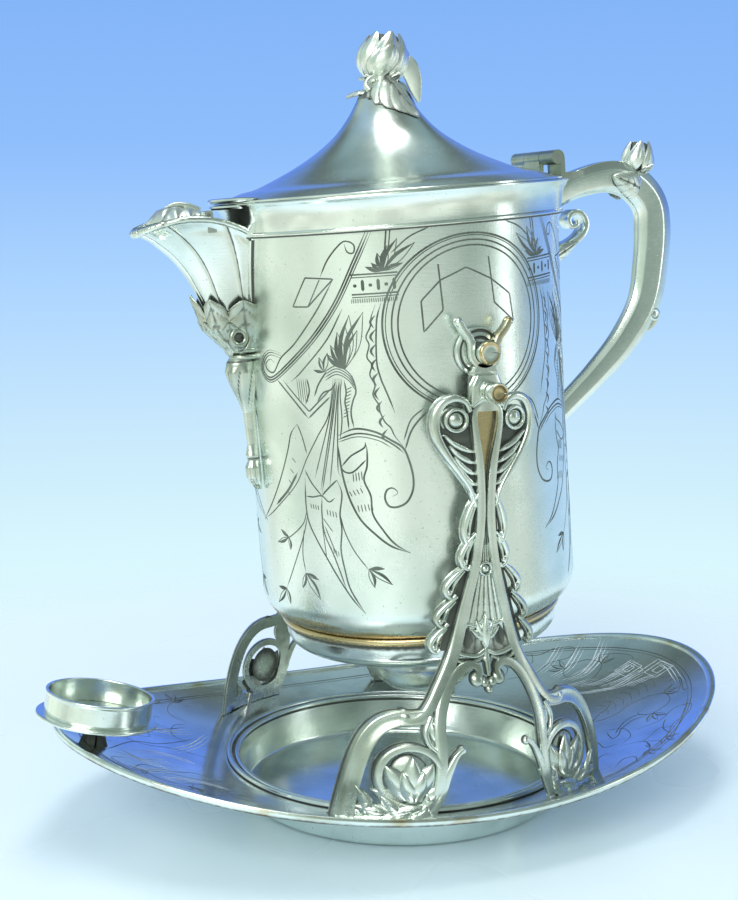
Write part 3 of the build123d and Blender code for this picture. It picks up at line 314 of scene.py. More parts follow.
class Piece:
    """Surfaces that together make one object of the scene."""

    def __init__(self):
        self.points = []
        self.faces = []
        self.hollow = []
        self.wear = []
        self.count = 0

    def add(self, points, hollow=0.0, wear=0.0, ring=False):
        """Add a grid of points, closed across its columns, and along its rows where it is a ring."""
        rows, columns = points.shape[:2]
        index = np.arange(rows * columns).reshape(rows, columns) + self.count
        self.faces.append(quads(index, np.roll(index, -1, axis=0)) if ring else quads(index[:-1], index[1:]))
        self.points.append(points.reshape(-1, 3))
        # Per-point painted shade and tarnish, then real wear
        self.hollow.append(np.broadcast_to(hollow, (rows, columns)).ravel())
        self.wear.append(np.broadcast_to(wear, (rows, columns)).ravel())
        self.count += rows * columns
        return self

    def moved(self, change):
        """The same surfaces with a function applied to all their points."""
        self.points = [change(points) for points in self.points]
        return self

    def make(self, name, body, nodes, finish, sharp=32.0):
        """Weld the surfaces into an object that rides on a body and stands for its nodes."""
        mesh = bpy.data.meshes.new(name)
        points = np.concatenate(self.points) / 1000.0
        mesh.from_pydata(points.tolist(), [], np.concatenate(self.faces).tolist())
        # Painted shade and tarnish, and real wear, as attributes that the finishes read
        for label, values in (("hollow", self.hollow), ("wear", self.wear)):
            layer = mesh.attributes.new(label, "FLOAT", "POINT")
            layer.data.foreach_set("value", np.concatenate(values).astype(np.float32))
        weld(mesh)
        smooth(mesh, sharp)
        mesh.materials.append(finishes[finish])
        made = placed(name, mesh)
        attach(made, body)
        if nodes:
            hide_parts(*nodes)
        return made


def full_turn(count):
    """Angles spread evenly round a full turn."""
    return np.linspace(0, 2 * np.pi, count, endpoint=False)


def peak(value, width):
    """Bell curve that is 1 where the value is 0."""
    return np.exp(-(value / width) ** 2)


def grid_of(x, y, z):
    """Points of three coordinates, each spread over the shape that they share."""
    return np.stack(np.broadcast_arrays(x, y, z), axis=-1)


def upright(line, y=0.0):
    """Points in space of a line in X and Z."""
    return grid_of(line[:, 0], y, line[:, 1])


def closed(grid):
    """Rows of points or values with one more at each end, drawn together to their mean."""
    first = np.broadcast_to(grid[:1].mean(axis=1, keepdims=True), grid[:1].shape)
    last = np.broadcast_to(grid[-1:].mean(axis=1, keepdims=True), grid[-1:].shape)
    return np.concatenate([first, grid, last])


def held(values):
    """Rows of values with the first and the last one repeated, for a closed grid."""
    return np.concatenate([values[:1], values, values[-1:]])


def along_path(shares, values, count):
    """Values given at shares of a path, at each of its points."""
    return np.interp(np.linspace(0, 1, count), shares, values)


def tilt(points):
    """Pitcher points turned about the trunnions to the rest pose."""
    cosine, sine = np.cos(rest_tilt), np.sin(rest_tilt)
    across, up = points[..., 0], points[..., 2] - pivot_height
    return grid_of(across * cosine + up * sine, points[..., 1], pivot_height - across * sine + up * cosine)


def to_rear(points):
    """Points turned half round the vertical axis."""
    return points * np.array([-1.0, -1.0, 1.0])


sides = (("front", lambda points: points), ("rear", to_rear))


def straight_line(points, count):
    """Points spread evenly along straight runs."""
    length = np.concatenate([[0], np.cumsum(np.linalg.norm(np.diff(points, axis=0), axis=1))])
    spots = np.linspace(0, length[-1], count)
    return np.stack([np.interp(spots, length, values) for values in np.transpose(points)], axis=-1)


def smooth_line(points, count):
    """Points spread evenly along a smooth line through the given ones.

    Between two given points it is a cubic whose direction at each of them is half the way from the
    point before it to the point after it.
    """
    p = np.asarray(points, float)
    p = np.vstack([2 * p[0] - p[1], p, 2 * p[-1] - p[-2]])
    t = np.linspace(0, 1, 16, endpoint=False)[None, :, None]
    a, b, c, d = p[:-3, None], p[1:-2, None], p[2:-1, None], p[3:, None]
    square = 2 * a - 5 * b + 4 * c - d
    cube = 3 * b - a - 3 * c + d
    line = 0.5 * (2 * b + (c - a) * t + square * t ** 2 + cube * t ** 3)
    return straight_line(np.vstack([line.reshape(-1, p.shape[1]), p[-2]]), count)


def rounded(corners, radius, steps=4):
    """Closed outline whose corners are cut back by a radius and joined by a parabola."""
    p = np.asarray(corners, float)
    before = np.roll(p, 1, axis=0) - p
    after = np.roll(p, -1, axis=0) - p
    far_before = np.linalg.norm(before, axis=1, keepdims=True)
    far_after = np.linalg.norm(after, axis=1, keepdims=True)
    start = p + before / far_before * np.minimum(radius, far_before * 0.45)
    end = p + after / far_after * np.minimum(radius, far_after * 0.45)
    t = np.linspace(0, 1, steps + 1)[None, :, None]
    arc = start[:, None] * (1 - t) ** 2 + 2 * p[:, None] * t * (1 - t) + end[:, None] * t ** 2
    return arc.reshape(-1, 2)


def circle(x, z, radius, steps=14):
    """Closed round outline."""
    angle = full_turn(steps)
    return np.stack([x + radius * np.cos(angle), z + radius * np.sin(angle)], axis=-1)


def spun(outline, steps=160):
    """Outline of radius and height carried round the vertical axis, one row to each angle."""
    angle = full_turn(steps)[:, None]
    return grid_of(outline[:, 0] * np.sin(angle), -outline[:, 0] * np.cos(angle), outline[:, 1])


def spun_y(outline, height, steps=48):
    """Outline of radius and depth carried round a line along -Y at a height."""
    angle = full_turn(steps)[:, None]
    return grid_of(outline[:, 0] * np.cos(angle), -outline[:, 1], height + outline[:, 0] * np.sin(angle))


def swept(path, up, section, scale=1.0):
    """Section of width and height carried along a path in space, its ends drawn to a point.

    Each point is the path, plus the section's width along the side of the path, plus its height
    along the given up direction. The scale is one row to each point, of width and height or both.
    """
    way = np.gradient(path, axis=0)
    way /= np.linalg.norm(way, axis=1, keepdims=True)
    side = np.cross(way, up)
    side /= np.linalg.norm(side, axis=1, keepdims=True)
    up = np.cross(side, way)
    wide, high = np.broadcast_to(np.transpose(scale), (2, len(path)))[..., None] * section.T[:, None]
    return closed(path[:, None] + side[:, None] * wide[..., None] + up[:, None] * high[..., None])


def blade(length, width, crown, sheet, veins=4, droop=0.0, rows=26, columns=28, heart=False):
    """Pointed leaf along +X, as a lens-shaped tube.

    Its breadth is a power of a sine along its length, fullest near the foot where it is a heart. It
    is crowned across, droops with the square of the distance, and its upper side has a midrib and
    slanting veins cut into it.
    """
    along = np.linspace(0, 1, rows)[:, None]
    around = full_turn(columns)
    across = np.cos(around)
    top = (np.sin(around) > 0.05) * 1.0
    fullness = along ** 0.52 if heart else along ** 0.8
    breadth = width / 2 * np.sin(np.pi * fullness) ** (0.62 if heart else 0.75)
    rib = peak(across, 0.10)
    waves = np.cos(2 * np.pi * veins * (along - 0.3 * np.abs(across)))
    cuts = peak(1 - waves, 0.22) * (veins > 0)
    border = peak(1 - np.abs(across), 0.035)
    relief = -top * (0.028 * width * cuts * (1 - rib) + 0.35 * sheet * rib)
    height = crown * (1 - across ** 2) * np.sin(np.pi * along) ** 0.6
    height = height + sheet / 2 * np.sin(around) + relief * np.sin(np.pi * along) ** 0.5
    height = height - droop * along ** 2
    # Painted shade and tarnish in the midrib, veins and border of the upper side, and painted shade over the
    # whole underside
    hollow = top * np.clip(rib * 0.75 + cuts * 0.65 + border * 0.8, 0, 1) + (1 - top) * 0.5
    return grid_of(length * along, breadth * across, height), np.broadcast_to(hollow, height.shape)


def turned_about(points, axis, degrees):
    """Points turned about one of the axes X, Y or Z through the origin."""
    cosine, sine = np.cos(np.radians(degrees)), np.sin(np.radians(degrees))
    first, second = {"X": (1, 2), "Y": (2, 0), "Z": (0, 1)}[axis]
    result = points.copy()
    result[..., first] = points[..., first] * cosine - points[..., second] * sine
    result[..., second] = points[..., first] * sine + points[..., second] * cosine
    return result


# Tray


def dish_height(radius):
    """Height of the dish's middle surface at a distance from the centre."""
    return dish_low + dish_radius - np.sqrt(dish_radius ** 2 - radius ** 2)


def on_dish(x, y, lift=0.0):
    """Point above the flange's upper face."""
    return grid_of(x, y, dish_height(np.hypot(x, y)) + flange_sheet / 2 + lift)


def make_tray():
    """Dished plate, its edge wire, the drip well and the lip round it.

    The plate lies on a sphere between the well's circle and the edge's ellipse.
    """
    angle = full_turn(256)[:, None]
    share = np.linspace(0, 1, 15)
    hole = 84.65
    edge = bead_width / 2 - 0.4
    x = np.cos(angle) * (hole * (1 - share) + (tray_half_length - edge) * share)
    y = np.sin(angle) * (hole * (1 - share) + (tray_half_width - edge) * share)
    sheet = np.concatenate([on_dish(x, y), on_dish(x, y, -flange_sheet)[:, ::-1]], axis=1)
    Piece().add(sheet, ring=True).make("tray_plate", "stand", ["tray_flange"], "tray")

    # Wire with a groove at the angle where it meets the plate, darkened there as painted shade and tarnish
    line = full_turn(360)[:, None]
    around = full_turn(24)
    groove_angle = 5.6
    wide = 2.25 * np.cos(around)
    high = 1.75 * np.sin(around) + 0.4 - 0.9 * peak(around - groove_angle, 0.22)
    out = np.concatenate([np.cos(line) / tray_half_length, np.sin(line) / tray_half_width], axis=1)
    out /= np.linalg.norm(out, axis=1, keepdims=True)
    x = tray_half_length * np.cos(line)
    y = tray_half_width * np.sin(line)
    height = dish_height(np.hypot(x, y)) + high + 0.30 * wide
    wire = grid_of(x + out[:, :1] * wide, y + out[:, 1:] * wide, height)
    dark = 0.9 * peak(around - groove_angle, 0.25)
    Piece().add(wire, dark, 0.25, ring=True).make("tray_edge", "stand", ["tray_bead"], "plate", 60)

    floor, corner, sheet = 81.5, 4.0, 1.4
    bend = np.linspace(0, np.pi / 2, 7)
    outer = np.stack([floor - corner + corner * np.sin(bend), corner * (1 - np.cos(bend))], axis=-1)
    inner_corner = corner - sheet
    inner_level = sheet + inner_corner * (1 - np.cos(bend))
    inner = np.stack([floor - corner + inner_corner * np.sin(bend), inner_level], axis=-1)
    wall_top = [(85.0, 18.2), (84.6, 19.0), (83.9, 18.6)]
    upper_floor = [(60, sheet), (30, sheet), (0, sheet)]
    outline = np.vstack([[(0, 0), (30, 0), (60, 0)], outer, wall_top, inner[::-1], upper_floor])
    Piece().add(spun(outline, 192), ring=True).make("well", "stand", ["well_pan"], "plate")

    lip = Piece()
    center, lip_width, bead = 86.8, 6.4, 1.3
    for spot in (center - lip_width / 2 + bead, center + lip_width / 2 - bead):
        level = dish_height(spot) + flange_sheet / 2 + bead
        section = circle(spot, level, bead)
        # Painted shade on the lower half of each bead, and painted shade and tarnish in the saddle between
        # them
        lip.add(spun(section, 192), 0.9 * (section[:, 1] < level), ring=True)
    low = dish_height(center) + flange_sheet / 2
    saddle = np.array([(84.8, -0.2), (85.6, 1.1), (center, 0.9), (88.0, 1.3), (88.8, 0.2)]) + (0, low)
    lip.add(spun(saddle, 192), 0.8, ring=True)
    lip.make("well_edge", "stand", ["well_lip"], "plate")


def goblet_frame(points):
    """Points of the goblet ring turned to its lean and moved to its place."""
    return turned_about(points, "Y", goblet_lean) + np.array(goblet_place)


def make_goblet_ring():
    """Plate, upright ring and waisted post of the goblet holder."""
    plate = rounded([(0.01, 0), (29.0, 0), (29.0, 1.6), (0.01, 1.6)], 0.7)
    plate = plate[plate[:, 0] > 0.5]
    plate = np.vstack([[(0, 0)], plate, [(0, 1.6)]])
    Piece().add(spun(plate, 96), 0.0, 0.2, ring=True).moved(goblet_frame).make(
        "goblet_base_plate", "stand", ["goblet_plate"], "plate"
    )
    corners = [(24.3, 1.6), (25.2, 1.6), (25.35, 3.0), (25.35, 11.0), (25.75, 11.4), (25.75, 12.6),
        (24.3, 12.6)]
    Piece().add(spun(rounded(corners, 0.5), 120), 0.0, 0.1, ring=True).moved(goblet_frame).make(
        "goblet_band", "stand", ["goblet_ring"], "plate", 40
    )
    low = dish_height(-goblet_place[0]) + flange_sheet / 2 - goblet_place[2]
    t = np.linspace(0, 1, 12)
    waist = 9.0 - 3.6 * np.sin(np.pi / 2 * np.minimum(1, t / 0.5)) + 6.4 * np.clip(t - 0.6, 0, 1) ** 1.5
    side = np.stack([waist, low * t - 0.05], axis=-1)
    post = np.vstack([[(0, -0.05)], side, [(0, low)]])
    # The post is darkened nearly to black all over, as painted shadow under the plate
    Piece().add(spun(post, 48), 0.85).moved(goblet_frame).make("goblet_stem", "stand", ["goblet_post"],
        "cast")


# Standards


bend = np.linspace(0, 1, 200)
bend_reach = (head_zone_bottom - foot_zone_top) * 0.45
bend_heights = (
    foot_zone_top * (1 - bend) ** 3
    + 3 * (foot_zone_top + bend_reach) * (1 - bend) ** 2 * bend
    + 3 * (head_zone_bottom - bend_reach) * (1 - bend) * bend ** 2
    + head_zone_bottom * bend ** 3
)
foot_share = (1 - bend) ** 3 + 3 * (1 - bend) ** 2 * bend
bend_radii = foot_ring_radius * foot_share + head_ring_radius * (1 - foot_share)


def on_standard(x, z, lift):
    """Point on the front standard's bent wall, lifted outwards from its middle surface."""
    z = np.maximum(z, foot_level)
    radius = np.interp(z, bend_heights, bend_radii) + lift
    return grid_of(x, -np.sqrt(radius ** 2 - x ** 2), z)


def both_sides(half):
    """Whole section from its left half, which ends at the middle."""
    return np.array(half + [(-across, lift) for across, lift in half[-2::-1]])


# Sections of the castings: share of the half width, and lift from the wall's middle surface
round_rail = both_sides([(-1, -1.3), (-1, 1.0), (-0.86, 2.0), (-0.5, 2.6), (0, 2.75)])
flat_rail = both_sides([(-1, -1.3), (-1, 0.2), (-0.97, 1.7), (-0.80, 2.5), (-0.45, 2.62), (0, 2.66)])
hollow_rail = both_sides([
    (-1, -1.3), (-1, 0.2), (-0.98, 1.9), (-0.86, 2.6), (-0.70, 2.7), (-0.45, 2.25), (0, 2.1),
])
thin_rib = np.array([(-1, -0.4), (-0.8, 1.2), (-0.35, 1.9), (0.35, 1.9), (0.8, 1.2), (1, -0.4)])


def rail_dark(section):
    """How much a rail's section lies in shade: most low on its sides, little on its face and back."""
    flank = np.clip((2.0 - section[:, 1]) / 1.5, 0, 1)
    return np.where(section[:, 1] < -1.0, 0.35, flank * 0.95)


def member(piece, points, widths, section, count=44, lift=0.0):
    """Band on the standard along a smooth line in X and Z, of changing width."""
    line = smooth_line(points, count)
    way = np.gradient(line, axis=0)
    way /= np.linalg.norm(way, axis=1, keepdims=True)
    offset = along_path(np.linspace(0, 1, len(widths)), widths, count)[:, None] / 2 * section[:, 0]
    x = line[:, :1] - way[:, 1:] * offset
    z = line[:, 1:] + way[:, :1] * offset
    height = np.broadcast_to(section[:, 1] + lift, x.shape)
    piece.add(on_standard(closed(x), closed(z), closed(height)), rail_dark(section))


def hoop(piece, x, z, radius, half_width, section):
    """Closed round band on the standard."""
    angle = full_turn(56)[:, None]
    reach = radius + half_width * section[:, 0]
    grid = on_standard(x + reach * np.cos(angle), z + reach * np.sin(angle), section[:, 1])
    piece.add(grid, rail_dark(section), ring=True)


def boss(piece, x, z, radius, rise, base=0.0, stretch=1.0):
    """Round dome on the standard."""
    turn = full_turn(28)
    t = np.linspace(0, 1, 8)[:, None]
    back = -0.9
    reach = np.vstack([radius * np.sin(np.pi / 2 * t), [[radius], [0]]])
    height = np.vstack([base + rise * np.cos(np.pi / 2 * t), [[back], [back]]])
    # Painted shade round the dome's foot, growing towards its rim
    dark = np.clip((reach / radius) ** 6, 0, 1) * 0.9
    piece.add(on_standard(x + reach * np.cos(turn), z + stretch * reach * np.sin(turn), height), dark)


def leaf_on(piece, x, z, degrees, length, width, crown, base=0.6, veins=3):
    """Leaf laid on the standard from a point, pointing at an angle from +X."""
    grid, dark = blade(length, width, crown, 1.2, veins, rows=18, columns=22)
    cosine, sine = np.cos(np.radians(degrees)), np.sin(np.radians(degrees))
    spot_x = x + grid[..., 0] * cosine - grid[..., 1] * sine
    spot_z = z + grid[..., 0] * sine + grid[..., 1] * cosine
    piece.add(on_standard(spot_x, spot_z, base + grid[..., 2]), dark)


def panel(piece, heights, left, right, front, columns=26, worn=0.0):
    """Thin wall on the standard between two edges given at each height, its face a function of place."""
    z = np.linspace(heights[0], heights[-1], 40)[:, None]
    low = np.interp(z, heights, left)
    high = np.interp(z, heights, right)
    share = np.linspace(0, 1, columns)
    x = low + (high - low) * share
    lift = front(share, z) + 0 * x
    back = np.full_like(x, -1.25)
    edge_lift = -0.4
    # Painted shade and tarnish in the wall's low parts, much weaker where it is worn, and on its back
    deep = np.clip((1.2 - lift) / 1.1, 0, 1) * (1.0 if worn == 0 else 0.3)
    dark = held(np.concatenate([deep, back * 0 + 0.3], axis=1))
    lifts = np.concatenate([lift, back], axis=1)
    lifts = np.concatenate([lifts[:1] * 0 + edge_lift, lifts, lifts[-1:] * 0 + edge_lift])
    xs = closed(np.concatenate([x, x[:, ::-1]], axis=1))
    piece.add(on_standard(xs, held(z), lifts), dark, worn)


def half_standard(piece, side):
    """Members of one half of a standard, mirrored by the side's sign."""
    flip = lambda points: [(side * x, z) for x, z in points]
    wide = lambda values: [side * v for v in values]
    # Main rail, outer arch down to the foot, inner arch round the ring
    member(piece, flip([(3.0, 210.6), (5.8, 208.6), (6.6, 204.0), (5.6, 196), (3.9, 186), (2.8, 174),
        (2.6, 158), (5.0, 138), (9.6, 119.5), (15.9, 97.5), (24.8, 81.0), (32.0, 71.8), (38.5, 69.0),
        (41.5, 71.2)]), [2.6, 4.2, 4.4, 4.8, 5.4, 6.2, 6.0, 3.0], flat_rail, 90)
    member(piece, flip([(30.5, 70.5), (37, 69.8), (44.5, 69.6), (51.5, 66.5), (57.5, 59.5), (62.0, 49),
        (65.4, 36), (67.4, 24), (68.0, 18)]), [6.0, 7.4, 7.6, 7.8, 8.4], hollow_rail, 64)
    member(piece, flip([(5.2, 85.4), (4.6, 89.0), (7.4, 91.4), (12.0, 90.6), (17.6, 86.2), (22.8, 77.5),
        (26.2, 65.5), (26.4, 51.5), (28.4, 38.0), (34.0, 28.0), (40.0, 24.4)]),
        [3.0, 5.0, 5.6, 5.8, 5.2, 4.6, 3.6], flat_rail, 72)
    boss(piece, side * 5.6, 84.6, 3.5, 2.9, 0.0, 1.05)
    member(piece, flip([(31.5, 27.0), (27.4, 36.0), (24.0, 45.0), (20.2, 52.2), (16.4, 55.6)]),
        [4.6, 4.4, 3.4, 1.8], flat_rail, 34)
    boss(piece, side * 16.6, 54.6, 2.1, 2.4)
    hoop(piece, side * 40.1, 43.6, 13.7, 1.75, flat_rail)
    boss(piece, side * 40.6, 70.6, 3.4, 2.8)
    # Rosebud with its leaves inside the ring
    leaf_on(piece, side * 38.0, 32.0, 90 + side * 62, 17.0, 9.0, 2.2, 0.0, 4)
    leaf_on(piece, side * 43.0, 32.0, 90 - side * 66, 15.0, 8.0, 2.2, 0.0, 4)
    boss(piece, side * 40.3, 44.0, 8.6, 2.2, -0.6, 1.15)
    for turn, length, wide_leaf, base in (
        (30, 20.0, 10.5, 1.0), (-32, 20.0, 10.5, 1.2), (2, 21.0, 9.6, 2.4), (18, 15.5, 7.6, 3.0),
        (-16, 15.0, 7.4, 3.2),
    ):
        leaf_on(piece, side * 40.3, 32.6, 90 + side * turn, length, wide_leaf, 1.6, base, 0)
    # Foot under the ring, with a leaf relief and a skirt that runs back under the arch
    panel(piece, [24.3, 26.5, 29.0, 31.5], wide((29.5, 29.8, 30.5, 32.5)), wide((71.0, 70.6, 69.8, 66.0)),
        lambda s, z: 1.3 + 0.7 * np.abs(np.sin(9 * np.pi * s + 0.5 * z - 12)) + 0.3 * np.sin(z * 1.4 + 9 * s))
    for x, z, turn, length in (
        (50, 27, 14, 15), (50, 27, 166, 17), (45, 27, 46, 12), (56, 27, 62, 15), (37, 27, 128, 12),
        (60, 26, 100, 10), (33, 27, 84, 10),
    ):
        leaf_on(piece, side * x, z, turn if side > 0 else 180 - turn, length, 6.0, 1.5, 1.4, 3)
    panel(piece, [24.3, 30.0, 40.0, 52.0], wide((65.0, 64.0, 62.5, 60.0)), wide((71.6, 69.6, 66.8, 62.4)),
        lambda s, z: -0.4 + 0.7 * np.sin(1.9 * z + 12 * s) * np.sin(0.8 * z))
    # Spandrel between the rail, the arch and the ring
    panel(piece, [54, 62, 68, 74], wide((27.6, 27.0, 26.2, 27.0)), wide((29.0, 32.5, 33.5, 31.0)),
        lambda s, z: 0.3 + 0.4 * np.sin(np.pi * s))
    member(piece, flip([(29.6, 70.5), (32.6, 64.0), (31.6, 58.4), (28.6, 55.0)]), [3.0, 2.8, 1.8],
        round_rail, 24)
    leaf_on(piece, side * 28.6, 58.5, 90 - side * 6, 11.5, 4.6, 1.5, 0.4, 3)
    # Peacock-like eye at the head: a crescent round a ball, with feather ribs down to the rail
    member(piece, flip([(8.4, 207.6), (10.6, 211.8), (15.6, 213.6), (21.2, 211.4), (24.4, 205.0),
        (23.8, 197.0), (19.4, 188.6), (13.4, 180.4), (8.0, 172.4), (5.4, 165.0)]),
        [2.4, 3.6, 4.6, 5.0, 4.6, 3.8, 3.2, 2.6, 1.8], round_rail, 64)
    hoop(piece, side * 15.0, 203.8, 4.9, 1.0, round_rail)
    boss(piece, side * 15.0, 203.8, 3.7, 2.6, 0.2)
    for step in range(6):
        low = 194.0 - 5.0 * step
        reach = 20.5 - 2.4 * step
        member(piece, flip([(5.6 - 0.35 * step, low - 5.0), (9.0 - 0.7 * step, low - 4.2),
            (reach * 0.76, low - 1.0), (reach, low + 3.4)]), [1.8, 3.0, 3.0, 1.6], thin_rib, 18, 0.3)
    panel(piece, [166, 176, 188, 200], wide((4.0, 4.2, 5.0, 6.2)), wide((6.4, 10.2, 17.8, 21.6)),
        lambda s, z: -0.5 + 0.2 * np.sin(1.36 * z + 3 * s))
    # Scrolled trim down the outside of the lower rails: where each scroll starts, its drop and its bulge
    for x, z, drop, bulge in (
        (5.0, 170.0, 24.0, 4.4), (6.0, 152.0, 17.0, 5.4), (10.4, 137.0, 15.0, 6.2), (14.6, 123.0, 14.0, 6.2),
        (18.8, 110.5, 13.0, 5.2),
    ):
        lean = 0.28 if z < 150 else 0.08
        spots = lambda pairs: [(side * (x + lean * drop * s + out), z - drop * s) for s, out in pairs]
        scroll = [(0.0, -0.8), (0.3, bulge * 0.55), (0.62, bulge * 0.95), (0.86, bulge * 0.78),
            (0.98, bulge * 0.28), (0.86, bulge * 0.1)]
        member(piece, spots(scroll), [1.2, 2.6, 3.0, 2.6, 1.6], round_rail, 30, -0.2)
        inner_rib = [(0.15, -0.6), (0.5, bulge * 0.36), (0.8, bulge * 0.42)]
        member(piece, spots(inner_rib), [1.0, 2.2, 1.0], thin_rib, 16, 0.2)
        boss(piece, *spots([(0.80, bulge * 0.62)])[0], 2.0, 2.6)
    panel(piece, [98, 118, 140, 168], wide((14.4, 8.8, 4.4, 3.4)), wide((21.4, 15.6, 9.0, 5.4)),
        lambda s, z: -0.5 + 0.15 * np.sin(0.9 * z))


def standard_piece():
    """Both halves of a standard with its middle panels, pearl and drop."""
    piece = Piece()
    for side in (1, -1):
        half_standard(piece, side)
    # Narrow recess between the upper rails, and the plain head above it
    # Its worn plating also weakens the painted shade of the recess
    panel(piece, [160, 176, 196, 208], [-2.0, -2.6, -4.6, -5.0], [2.0, 2.6, 4.6, 5.0],
        lambda s, z: -0.7, worn=0.5)
    panel(piece, [207.5, 210.5, 219, 223.5], [-5.4, -8.0, -7.8, -5.6], [5.4, 8.0, 7.8, 5.6],
        lambda s, z: 1.7 + 1.0 * np.sin(np.pi * s) ** 0.35)
    member(piece, [(-8.0, 209.6), (-4.0, 212.4), (0, 213.2), (4.0, 212.4), (8.0, 209.6)],
        [1.6, 2.6, 3.0, 2.6, 1.6], round_rail, 30, 0.2)
    # Fluted fan below the pinch, with two dark windows beside a lotus
    eyelet = lambda x, z: peak(((np.abs(x) - 8.4) / 2.6) ** 2 + ((z - 103.0) / 3.6) ** 2, 1.0)
    half = lambda z: np.interp(z, [94, 98, 112, 128, 146], [16.6, 14.8, 10.4, 5.8, 2.4])
    panel(piece, [95, 98, 112, 128, 146], [-16.0, -14.8, -10.4, -5.8, -2.4], [16.0, 14.8, 10.4, 5.8, 2.4],
        lambda s, z: 0.35 + 0.8 * np.abs(np.sin(6.0 * np.pi * s)) * np.clip((z - 96) / 8, 0.3, 1)
        - 1.6 * eyelet((2 * s - 1) * half(z), z), 96)
    for turn in (-52, -26, 26, 52):
        leaf_on(piece, 0, 101.5, 90 + turn, 12.0 - abs(turn) * 0.05, 3.8, 1.2, 1.2, 2)
    leaf_on(piece, 0, 97.5, 90, 17.0, 5.4, 2.0, 1.6, 2)
    for side in (-1, 1):
        member(piece, [(0, 112.0), (side * 4.6, 108.6), (side * 9.0, 109.6), (side * 12.6, 106.0)],
            [1.6, 2.0, 1.6], round_rail, 24, -0.6)
        member(piece, [(side * 17.6, 98.8), (side * 11.0, 96.0), (side * 5.0, 95.2), (0, 97.4)],
            [2.8, 2.2, 2.8], round_rail, 26, -0.2)
        member(piece, [(side * 17.0, 94.6), (side * 11.0, 92.6), (side * 6.0, 92.8), (side * 2.0, 94.4)],
            [1.8, 1.6, 1.6], round_rail, 22, -0.6)
    boss(piece, 0, 135.0, 2.3, 3.0)
    hoop(piece, 0, 135.0, 2.9, 0.7, round_rail)
    member(piece, [(0, 98.0), (0, 93.0), (0, 86.0)], [3.2, 3.0, 2.0], round_rail, 14)
    for x, z, radius in ((-2.0, 83.0, 2.3), (2.0, 83.0, 2.3), (0, 80.0, 2.1)):
        boss(piece, x, z, radius, 2.6, 0.0, 1.1)
    boss(piece, 0, 93.4, 2.4, 2.8)
    return piece


def block(outline, depths, sizes):
    """Closed block of an outline in X and Z, with its size at each depth."""
    sizes = np.array(sizes, float)[:, None]
    depths = np.array(depths, float)[:, None]
    return grid_of(outline[:, 0] * sizes, -depths, outline[:, 1] * sizes)


def fork_piece():
    """Lyre-shaped fork with ball tips, and its tang down to the standard's head."""
    arm_half, corner = 1.9, 0.8
    cup_radius = trunnion_room + arm_half
    arc = np.radians(np.linspace(180, 360, 15))
    cup = np.stack([cup_radius * np.cos(arc), cup_radius * np.sin(arc)], axis=-1)
    left = smooth_line([(-12.6, 13.8), (-10.6, 10.4), (-7.4, 6.4), (-6.3, 3.0), tuple(cup[0])], 14)[:-1]
    line = np.vstack([left, cup, left[::-1] * (-1, 1)])
    middle = (fork_inner_face + fork_outer_face) / 2
    path = upright(line + (0, pivot_height), -middle)
    ends = np.abs(np.linspace(-1, 1, len(path)))
    scale = np.stack([1.0 - 0.22 * ends ** 2, np.ones_like(ends)], axis=-1)
    section = rounded([(-arm_half, -2.5), (arm_half, -2.5), (arm_half, 2.5), (-arm_half, 2.5)], 1.0, 3)
    # Painted shade and tarnish: slight on the arms, more on the neck, most on the tang behind the fork
    piece = Piece().add(swept(path, (0.0, -1.0, 0.0), section, scale), 0.12, 0.3)
    t = np.linspace(0, np.pi, 13)
    ball = np.stack([2.3 * np.sin(t), middle - 2.45 * np.cos(t)], axis=-1)
    for side in (-1, 1):
        piece.add(spun_y(ball, pivot_height + 13.6, 20) + (side * 12.7, 0, 0), 0.0, 0.4)
    neck = [(-6.3, -10.8), (6.3, -10.8), (6.3, -8.6), (3.8, -4.9), (-3.8, -4.9), (-6.3, -8.6)]
    neck_middle = pivot_height - 8
    neck = rounded(neck, corner, 3) + (0, 8)
    depths = [fork_inner_face, fork_inner_face + 0.5, fork_outer_face - 0.5, fork_outer_face]
    piece.add(closed(block(neck, depths, [0.92, 1.0, 1.0, 0.92]) + (0, 0, neck_middle)), 0.3)
    tang_face = 86.8
    tang = rounded([(-6.3, -23.8), (6.3, -23.8), (6.3, -10.4), (-6.3, -10.4)], corner, 3)
    piece.add(closed(block(tang, [fork_inner_face, tang_face], [1, 1]) + (0, 0, pivot_height)), 0.6)
    return piece


def add_bolt(piece, turn):
    """Round-headed stud with a dished end."""
    head = np.array([(0, 84.6), (2.3, 84.6), (2.3, 92.2), (4.2, 92.3), (4.8, 93.0), (4.8, 96.4),
        (4.5, 97.0), (4.8, 97.6), (4.8, 101.9), (4.3, 102.6), (3.6, 102.5), (3.3, 101.6), (1.6, 101.2),
        (0, 101.1)])
    # Painted shade and tarnish on the shank and in the grooves of the head
    dark = np.array([1, 1, 1, 0.6, 0, 0.3, 0.9, 0.3, 0, 0, 0.2, 0.8, 0.3, 0.1])
    wear = np.array([0, 0, 0, 0.2, 0.2, 0.2, 0.2, 0.2, 0.3, 0.4, 0.8, 0.9, 0.9, 0.9])
    piece.add(turn(spun_y(head, bolt_height, 40)), dark, wear)


def make_standards():
    """Front and rear standards, their forks and bolts."""
    for name, turn in sides:
        standard_piece().moved(turn).make(name + "_casting", "stand", [name + "_standard"], "cast", 50)
        fork_piece().moved(turn).make(name + "_lyre", "stand", [name + "_fork"], "cast", 45)
    bolts = Piece()
    for _, turn in sides:
        add_bolt(bolts, turn)
    bolts.make("fork_studs", "stand", ["fork_bolts"], "cast", 40)


# Pitcher body


